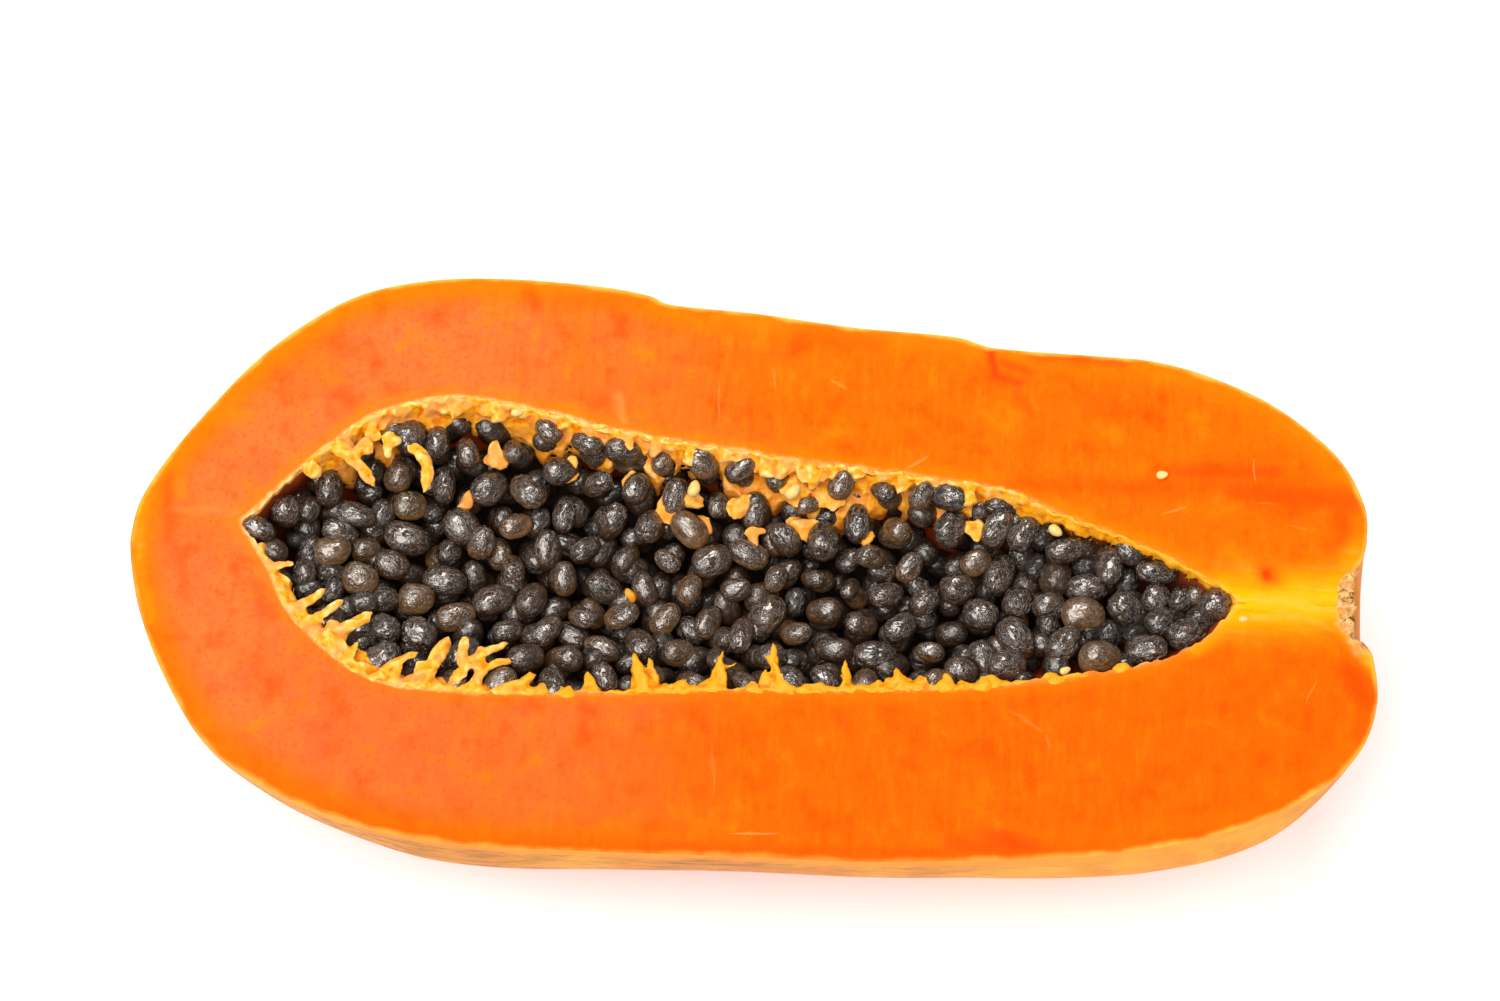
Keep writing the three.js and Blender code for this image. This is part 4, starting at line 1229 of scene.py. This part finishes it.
# Single strands from the far edge that curl over the seeds: root, elbow, tip and radius.
FAR_STRANDS = [
    ((38.4, 23.5, -0.8), (43, 20.5, -0.3), (48, 14.5, -1.8), 1.5),
    ((45.5, 25, -0.9), (44.5, 22, -0.4), (42, 19.5, -0.8), 1.4),
    ((33.6, 19, -0.8), (34.5, 17.5, -0.6), (36.2, 16, -1.4), 1.5),
    ((53, 24, -0.9), (59.5, 21, -0.2), (57.4, 13.8, -1.6), 1.4),
    ((40, 24, -1), (41.5, 22, -1), (44, 20.5, -1.4), 1.3),
    ((49, 27, -1), (50, 24, -1.2), (49.5, 21, -2), 1.2),
]
# The same from the near edge.
NEAR_STRANDS = [
    ((27, -4.6, -0.9), (30.9, -4.0, -0.5), (33.1, -2.2, -1.2), 0.9),
    ((32, -13, -0.9), (36, -12, -0.4), (40, -7.5, -1.2), 1.1),
    ((34.5, -16.5, -0.9), (39.6, -13.5, -0.5), (43.6, -9.5, -1.4), 1.1),
    ((38.5, -20.2, -0.9), (44.4, -16.8, -0.2), (49.4, -12.1, -1.2), 1.5),
    ((41.8, -21.8, -0.9), (43.8, -18.6, -0.6), (45.6, -14.7, -1.5), 1.0),
    ((45, -24, -0.9), (45.8, -21.6, -0.6), (47.2, -18.4, -1.2), 1.0),
    ((49.5, -27.6, -0.9), (53.5, -23.5, -0.4), (59.5, -19.8, -1.2), 1.1),
    ((54.6, -27.6, -0.9), (55.4, -25.1, -0.6), (55.9, -22.6, -1.2), 1.0),
    ((60.3, -28.6, -0.9), (62.4, -22.6, -0.2), (65.2, -16.4, -1.0), 1.7),
    ((65.6, -27.5, -0.9), (71, -19.2, 0.2), (77.4, -17.3, -0.8), 1.2),
    ((69.5, -28.4, -0.9), (73.6, -20.1, -0.3), (78.3, -21.3, -1.4), 1.1),
    ((74, -28.2, -0.9), (78.8, -26.3, -0.4), (83.2, -23.5, -0.9), 1.2),
]
# Flat patches of pulp between the seeds: x, y and reach.
PULP_PATCHES = [
    (66.4, 15.9, 2.0), (71.4, 24.6, 2.8), (98.1, 19.4, 2.6), (105.4, 14.8, 3.0), (110.8, 17.3, 2.2),
    (120.7, 16, 2.4), (123.6, 11, 2.0), (131, 19.3, 3.4), (133.1, 13, 2.8), (113.9, 12.4, 2.4),
    (100.4, -3.2, 1.2), (138.9, 17.6, 3.0), (128.6, 23.4, 2.8), (146, 12, 2.0), (85, 22, 2.4),
    (168, 13, 2.0),
]
# Pale ovules that never grew into seeds: x, y, height below the cut face, length and turn.
OVULES = [
    (111.5, 18.2, 2.4, 3.8, 1.4), (131.4, 18.4, 2.0, 4.0, 0.9), (205.1, 25.1, -0.5, 2.5, 0.2),
    (184.2, 12.9, 2.0, 3.2, -0.6), (187, -16.7, 2.0, 2.4, 0.5), (221.9, -4.6, 0.2, 2.0, 0.2),
    (74.9, 32.1, 1.0, 2.6, 0.1), (105.7, 28.1, 1.2, 2.2, 1.2), (182.2, 18.8, 1.0, 2.0, 0.8),
]


def finger(root, elbow, tip, width, flatness, draw, blunt=0.7):
    """A lumpy tapering finger of tissue along a bent line."""
    steps, around = FINGER_STEPS
    t = np.linspace(0, 1, steps + 1)[:, None]
    line = (1 - t) ** 2 * root + 2 * t * (1 - t) * elbow + t**2 * tip
    ahead = np.gradient(line, axis=0)
    ahead /= np.linalg.norm(ahead, axis=1)[:, None]
    side = np.cross([0, 0, 1.0], ahead)
    side /= np.maximum(np.linalg.norm(side, axis=1), 1e-6)[:, None]
    up = np.cross(ahead, side)
    shift = draw(0, 90)
    points = [line[0]]
    for i in range(1, steps):
        share = i / steps
        taper = 1 - (1 - blunt) * share**1.3
        round_end = math.sqrt(1 - max(0, share - 0.7) ** 2 / 0.13)
        for j in range(around):
            turn = 2 * math.pi * j / around
            knob = 1 + 0.6 * noise.noise(Vector((share * 2.6, math.cos(turn) + shift, math.sin(turn))))
            offset = side[i] * math.cos(turn) + up[i] * math.sin(turn) * flatness
            points.append(line[i] + offset * width * taper * round_end * knob)
    points.append(line[-1])
    return np.array(points), tube_faces(steps, around), {}


def lump(middle, reach, draw):
    """A rounded lump of tissue."""
    points, faces = ball(*LUMP_STEPS)
    swell = 1 + 0.35 * noise_at(points, 0.9, draw(0, 90))
    turn = draw(0, math.pi)
    turned = points * swell[:, None] * reach @ np.array(Matrix.Rotation(turn, 3, "Z")).T
    return turned + middle, faces, {}


def edge_frame(x, side):
    """The cavity edge's point at x, with the directions into the cavity and along the edge."""
    edge, inward = (near_edge, 1.0) if side == "near" else (far_edge, -1.0)
    slope = float(edge(x + 0.5) - edge(x - 0.5))
    steep = math.hypot(slope, 1)
    point = np.array([x, float(edge(x)), 0.0])
    return point, np.array([-slope * inward, inward, 0.0]) / steep, np.array([1.0, slope, 0.0]) / steep


def tuft(x, side, width, length, pointed, draw):
    """A torn tuft: a mound on the edge with fingers that lean over the seeds."""
    if pointed:
        spacing, thickness, blunt = 2.2, (1.4, 2.3), 0.2
    elif side == "near":
        spacing, thickness, blunt = 2.4, (0.8, 1.4), 0.7
    else:
        spacing, thickness, blunt = 2.6, (1.0, 2.1), 0.8
    count = max(1, round(width / spacing))
    top = 0.9 if side == "near" else 1.4
    parts = []
    lean = draw(-0.4, 0.4)
    for i in range(count):
        offset = (i + 0.5) / count * 2 - 1 + draw(-0.35, 0.35) / count
        point, inward, along = edge_frame(x + offset * width / 2, side)
        reach = length * (1 - (0.8 if pointed else 0.6) * abs(offset - lean)) * draw(0.5, 1.15)
        depth = top + draw(0.0, 1.2)
        sway = (lean - offset * (0.5 if pointed else -0.3) + draw(-0.3, 0.3)) * reach
        root = point - inward * 1.4 + [0, 0, -depth]
        elbow = root + inward * (1.4 + reach * 0.45) + along * sway * 0.1 + [0, 0, draw(-0.2, 0.8)]
        tip = root + inward * (1.4 + reach) + along * sway + [0, 0, draw(-1.0, 0.7)]
        parts.append(finger(root, elbow, tip, draw(*thickness), draw(0.45, 0.7), draw, blunt))
        if draw() < (0.15 if pointed else 0.5):
            fork = elbow + inward * reach * draw(0.2, 0.5) + along * draw(-0.7, 0.7) * reach
            halfway = (elbow + fork) / 2
            parts.append(finger(elbow, halfway, fork, draw(0.6, 0.9), 0.7, draw, blunt + 0.1))
    point, inward, _ = edge_frame(x, side)
    mound = point + inward * 0.1 + [0, 0, -top - 0.4]
    parts.append(lump(mound, (width * 0.5, 1.5, 0.9), draw))
    return parts


# How far the soft lining reaches into the cavity, as (x, reach).
FAR_LEDGE = [
    (33, 0.6), (37, 5.5), (43, 8), (50, 8), (57, 5), (64, 3.8), (72, 4.2), (82, 5), (92, 5.5), (104, 6),
    (116, 4.5), (126, 8), (136, 11), (145, 8), (156, 4.5), (170, 4.5), (180, 2.5), (190, 1.2), (200, 1),
    (210, 1.2), (216, 1),
]
NEAR_LEDGE = [
    (25, 0.8), (30, 2.2), (38, 3.6), (48, 4.4), (58, 3.2), (66, 2.6), (76, 2.2), (84, 1.6), (92, 1.2),
    (100, 1), (108, 1.6), (118, 1.4), (130, 1.6), (142, 1.2), (152, 1.8), (162, 1.6), (172, 1.2),
    (182, 0.8), (194, 0.4),
]
LEDGE_ROWS = 620
LEDGE_COLUMNS = 30
LEDGE_ROOT = 1.2  # how far the lining reaches back into the flesh
LEDGE_THICKNESS = 1.6
PULP_LIFT = -1.7  # the far lining's height over the middles of the seeds beside it


def ledge(side, reaches):
    """The soft lining along one edge of the cavity, with lumps, folds and a torn inner border."""
    curve, turn = (cavity_near, 1.0) if side == "near" else (cavity_far, -1.0)
    line = curve(np.linspace(0, 1, LEDGE_ROWS))
    line = line[(line[:, 0] >= reaches[0][0]) & (line[:, 0] <= reaches[-1][0])]
    ahead = np.gradient(line, axis=0)
    ahead /= np.linalg.norm(ahead, axis=1)[:, None]
    inward = np.stack([-ahead[:, 1], ahead[:, 0]], -1) * turn
    flat = np.hstack([line, np.zeros((len(line), 1))])
    reach = read(reaches, line[:, 0])
    reach *= np.clip(1 + 0.75 * noise_at(flat, 6.0, 4.0) + 0.4 * noise_at(flat, 2.4, 9.0), 0.35, 1.7)
    reach = np.minimum(reach, 0.4 * (far_edge(line[:, 0]) - near_edge(line[:, 0])))
    share = np.linspace(0, 1, LEDGE_COLUMNS)[None, :]
    out = -LEDGE_ROOT + (reach[:, None] + LEDGE_ROOT) * share
    spots = (line[:, None, :] + inward[:, None, :] * out[:, :, None]).reshape(-1, 2)
    spots = np.hstack([spots, np.zeros((len(spots), 1))])
    folds = noise_at(spots, 3.6, 2.0).reshape(out.shape)
    lumps = noise_at(spots, 1.9, 7.0).reshape(out.shape)
    sway = 0.7 * noise_at(spots, 2.6, 31.0, 2).reshape(out.shape)
    bed = bed_height(spots[:, 0], spots[:, 1]).reshape(out.shape)
    inside = np.maximum(out, 0)
    if side == "far":
        height = np.maximum(-0.3 - 1.6 * inside, bed + PULP_LIFT + 1.2 * folds)
    else:
        height = -0.5 - 0.6 * inside
    height += (0.8 * folds + 0.7 * np.abs(lumps)) * smoothstep(-LEDGE_ROOT, 0.8, out)
    height -= 0.9 * smoothstep(-0.2, -LEDGE_ROOT, out)
    height -= 2.6 * smoothstep(0.78, 1.0, np.broadcast_to(share, out.shape)) ** 2
    top = spots.reshape(*out.shape, 3).copy()
    top[:, :, :2] += inward[:, None, :] * sway[:, :, None]
    top[:, :, 2] = height
    return [slab(top, LEDGE_THICKNESS)[:2] + ({},)]


def strands(lines, seed):
    """Strands along the lines, each with a side branch at its elbow."""
    draw = make_draw(seed)
    parts = []
    for root, elbow, tip, radius in lines:
        root, elbow, tip = np.array(root), np.array(elbow), np.array(tip)
        parts.append(finger(root, elbow, tip, radius, 0.65, draw, 0.85))
        aside = np.cross([0, 0, 1.0], tip - root) * draw(-0.25, 0.25)
        start, end = (root + elbow) / 2, elbow + aside + [0, 0, draw(-0.8, -0.2)]
        bend = (start + end) / 2 + aside * 0.3
        parts.append(finger(start, bend, end, radius * draw(0.9, 1.3), 0.6, draw, 0.8))
    return parts


def pulp_patches():
    """Flat lumps of pulp that lie on the seeds."""
    draw = make_draw(PULP_DRAW)
    parts = []
    for x, y, reach in PULP_PATCHES:
        for _ in range(3):
            place = np.array([x + draw(-0.5, 0.5) * reach, y + draw(-0.5, 0.5) * reach])
            height = float(bed_height(*place)) + draw(0.0, 1.0)
            size = (reach * draw(0.8, 1.2), reach * draw(0.5, 0.8), draw(0.5, 0.7))
            parts.append(lump(np.array([*place, height]), size, draw))
    return parts


def fused(name, parts):
    """The parts as one smooth skin, with each point's depth below the cut and how far it bulges."""
    rough = make_object(name, *joined(parts))
    remesh = rough.modifiers.new("fuse", "REMESH")
    remesh.mode = "VOXEL"
    remesh.voxel_size = TISSUE_VOXEL
    smooth = rough.modifiers.new("smooth", "SMOOTH")
    smooth.factor = 0.5
    smooth.iterations = TISSUE_SMOOTHING
    evaluated = rough.evaluated_get(bpy.context.evaluated_depsgraph_get())
    mesh = evaluated.to_mesh()
    points = np.empty(len(mesh.vertices) * 3)
    normals = np.empty(len(mesh.vertices) * 3)
    mesh.vertices.foreach_get("co", points)
    mesh.vertices.foreach_get("normal", normals)
    points = points.reshape(-1, 3) * 1000 - FRUIT_ORIGIN
    faces = [list(face.vertices) for face in mesh.polygons]
    evaluated.to_mesh_clear()
    bpy.data.objects.remove(rough)
    shifts = (5.0, 35.0, 65.0)
    uneven = [noise_at(points, 2.4, s, 2) + 0.18 * noise_at(points, 0.9, s) for s in shifts]
    points += TISSUE_BUMPS * np.stack(uneven, -1)
    points[:, 2] = np.minimum(points[:, 2], HIGHEST)
    bulge = ((points - eased(points, faces)) * normals.reshape(-1, 3)).sum(1)
    attributes = {"place": points.copy(), "depth": -points[:, 2], "bulge": bulge}
    x, y, _ = points.T
    far_side = y > cavity_middle(x)
    attributes["creamy"] = np.where(far_side, smoothstep(200, 160, x), smoothstep(92, 62, x))
    return make_object(name, points, faces, attributes)


def eased(points, faces, rounds=16):
    """The points, each drawn towards its neighbours again and again."""
    corners = np.array(faces)
    starts, ends = np.vstack([corners[:, [i, (i + 1) % 4]] for i in range(4)]).T

    def from_neighbours(values):
        """The sum of each point's neighbours' values."""
        count = len(points)
        return np.bincount(starts, values[ends], count) + np.bincount(ends, values[starts], count)

    degree = from_neighbours(np.ones(len(points)))[:, None]
    for _ in range(rounds):
        total = np.stack([from_neighbours(column) for column in points.T], -1)
        points = 0.5 * points + 0.5 * total / degree
    return points


def tufts(places, side, seed):
    """Tufts along one edge. Those of the near edge are pointed from POINTED_FROM on."""
    draw = make_draw(seed)
    parts = []
    for x, width, length in places:
        parts += tuft(x, side, width, length, side == "near" and x > POINTED_FROM, draw)
    return parts


def near_tissue():
    """All the torn tissue along the near edge of the cavity."""
    parts = tufts(NEAR_TUFTS, "near", NEAR_TUFT_DRAW) + ledge("near", NEAR_LEDGE)
    return parts + strands(NEAR_STRANDS, NEAR_STRAND_DRAW)


def far_tissue():
    """All the torn tissue along the far edge, with the pulp between the seeds."""
    parts = tufts(FAR_TUFTS, "far", FAR_TUFT_DRAW) + ledge("far", FAR_LEDGE)
    return parts + strands(FAR_STRANDS, FAR_STRAND_DRAW) + pulp_patches()


def ovules():
    """Small smooth teardrops."""
    parts = []
    for x, y, depth, length, turn in OVULES:
        points, faces = ball(*LUMP_STEPS)
        points[:, 1:] *= (0.66 - 0.16 * points[:, 0] + 0.12 * noise_at(points, 1.1, x))[:, None]
        points = points * length / 2 @ np.array(Matrix.Rotation(turn, 3, "Z")).T + [x, y, -depth]
        points[:, 2] = np.minimum(points[:, 2], HIGHEST)
        parts.append((points, faces, {"place": points.copy()}))
    return parts


# ---- the object ----


def dress(piece, node, slot, *materials):
    """Gives a piece its materials, hangs it on the root and hides the imported part of the node it
    stands for; the slot is not used.
    """
    for material in materials:
        piece.data.materials.append(material)
    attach(piece, "root")
    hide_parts(node)


def add_body():
    points, faces, materials, face_count, skin_count = body_parts()
    shaped, attributes = shape_body(points, face_count, skin_count)
    body = make_object("papaya_flesh_and_skin", shaped, faces, attributes)
    dress(body, "papaya_half", "flesh", flesh_material(), skin_material())
    body.data.polygons.foreach_set("material_index", materials)


def add_seeds():
    material = seed_material()
    top = top_seeds()
    third = (len(top) + 2) // 3
    groups = {f"seeds_top_{i + 1}": top[i * third : (i + 1) * third] for i in range(3)}
    for name, layer in UNDER_LAYERS.items():
        groups[f"seeds_{name}_layer"] = under_seeds(*layer)
    for name, parts in groups.items():
        dress(make_object(name, *joined(parts)), "seeds", "seeds", material)


def shade_sheet():
    """A dark lumpy sheet of painted shade under the seeds, which runs into the cavity's wall."""
    xs = np.linspace(CAVITY_START[0] + 2, CAVITY_END[0] - 2, SHADE_SHEET_GRID[0])
    shares = np.linspace(-0.95, 0.95, SHADE_SHEET_GRID[1])
    x, share = np.meshgrid(xs, shares, indexing="ij")
    y = cavity_middle(x) + share * edge_reach(x, share > 0)
    floor_line = cavity_floor(np.linspace(0, 1, 401))
    floor = np.interp(x, floor_line[:, 0], floor_line[:, 1]) * np.sqrt(np.maximum(0.02, 1 - share**2))
    depth = np.minimum(SHADE_SHEET_DEPTH, floor * 0.75) + 2.0 * share**2
    flat = np.stack([x, y, np.zeros_like(x)], -1).reshape(-1, 3)
    bumps = 1.4 * np.abs(noise_at(flat, 5.0, 3.3, 2)).reshape(x.shape)
    return slab(np.stack([x, y, bed_height(x, y) - depth + bumps], -1), SHADE_SHEET_THICKNESS)


def add_shade_sheet():
    # A dark sheet under the seeds, as painted shade.
    dress(make_object("shade_sheet", *shade_sheet()), "seeds", "seeds", shade_sheet_material())


def add_tissue():
    material = placenta_material()
    for name, parts in (("placenta_near", near_tissue()), ("placenta_far", far_tissue())):
        dress(fused(name, parts), "papaya_half", "flesh", material)


def add_ovules():
    dress(make_object("ovules", *joined(ovules())), "seeds", "seeds", ovule_material())


# ---- floor, light and camera ----

CAMERA_PLACE = (141.42, -321.37, 834.5)
CAMERA_TARGET = (122.91, 15.26, 0.0)
CAMERA_LENS = 108.0
SENSOR_WIDTH = 36.0
# The lights are placed and sized in metres, in the model's frame: name, place, size, watts, and
# whether they are mirrored. One that is not leaves no patch on the wet seeds.
LIGHTS = [
    ("back", (-0.12, 0.6, 1.15), (0.8, 0.6), 10.0, True),
    ("left", (-0.52, -0.33, 1.1), (1.4, 1.2), 24.0, True),
    ("fill", (0.5, -0.4, 1.1), (1.0, 0.9), 10.0, False),
]
LIGHT_TONE = (1.0, 0.94, 0.87)
LIT_SPOT = (0.0, 0.0, 0.03)
WORLD_TONE = (1.0, 0.9, 0.8, 1.0)
WORLD_STRENGTH = 0.17
FLOOR_TONE = (0.94, 0.88, 0.95, 1.0)
FLOOR_HALF = 4.0


def add_floor():
    mesh = bpy.data.meshes.new("floor")
    corners = [(-1, -1), (1, -1), (1, 1), (-1, 1)]
    mesh.from_pydata([(x * FLOOR_HALF, y * FLOOR_HALF, 0) for x, y in corners], [], [[0, 1, 2, 3]])
    floor = bpy.data.objects.new("floor", mesh)
    bpy.context.scene.collection.objects.link(floor)
    s = Shader("floor")
    s.set(Base_Color=FLOOR_TONE, Roughness=0.6, Specular_IOR_Level=0.2)
    mesh.materials.append(s.material)


def aimed(name, data, place, target):
    """A light's or the camera's object, at its place and turned to the target."""
    made = bpy.data.objects.new(name, data)
    made.location = place
    made.rotation_euler = (target - place).to_track_quat("-Z", "Y").to_euler()
    bpy.context.scene.collection.objects.link(made)
    return made


def add_lights():
    for name, place, size, watts, mirrored in LIGHTS:
        data = bpy.data.lights.new(name, "AREA")
        data.shape = "RECTANGLE"
        data.size, data.size_y = size
        data.energy = watts
        data.color = LIGHT_TONE
        aimed(name, data, Vector(place), Vector(LIT_SPOT)).visible_glossy = mirrored


def add_camera():
    data = bpy.data.cameras.new("camera")
    data.lens = CAMERA_LENS
    data.sensor_width = SENSOR_WIDTH
    place, target = Vector(to_frame(CAMERA_PLACE)), Vector(to_frame(CAMERA_TARGET))
    bpy.context.scene.camera = aimed("camera", data, place, target)


def add_world():
    world = bpy.data.worlds.new("studio")
    world.use_nodes = True
    background = world.node_tree.nodes["Background"]
    background.inputs["Color"].default_value = WORLD_TONE
    background.inputs["Strength"].default_value = WORLD_STRENGTH
    bpy.context.scene.world = world
    bpy.context.scene.view_settings.view_transform = "Standard"


add_camera()
add_floor()
add_world()
add_lights()
add_body()
add_seeds()
add_shade_sheet()
add_tissue()
add_ovules()
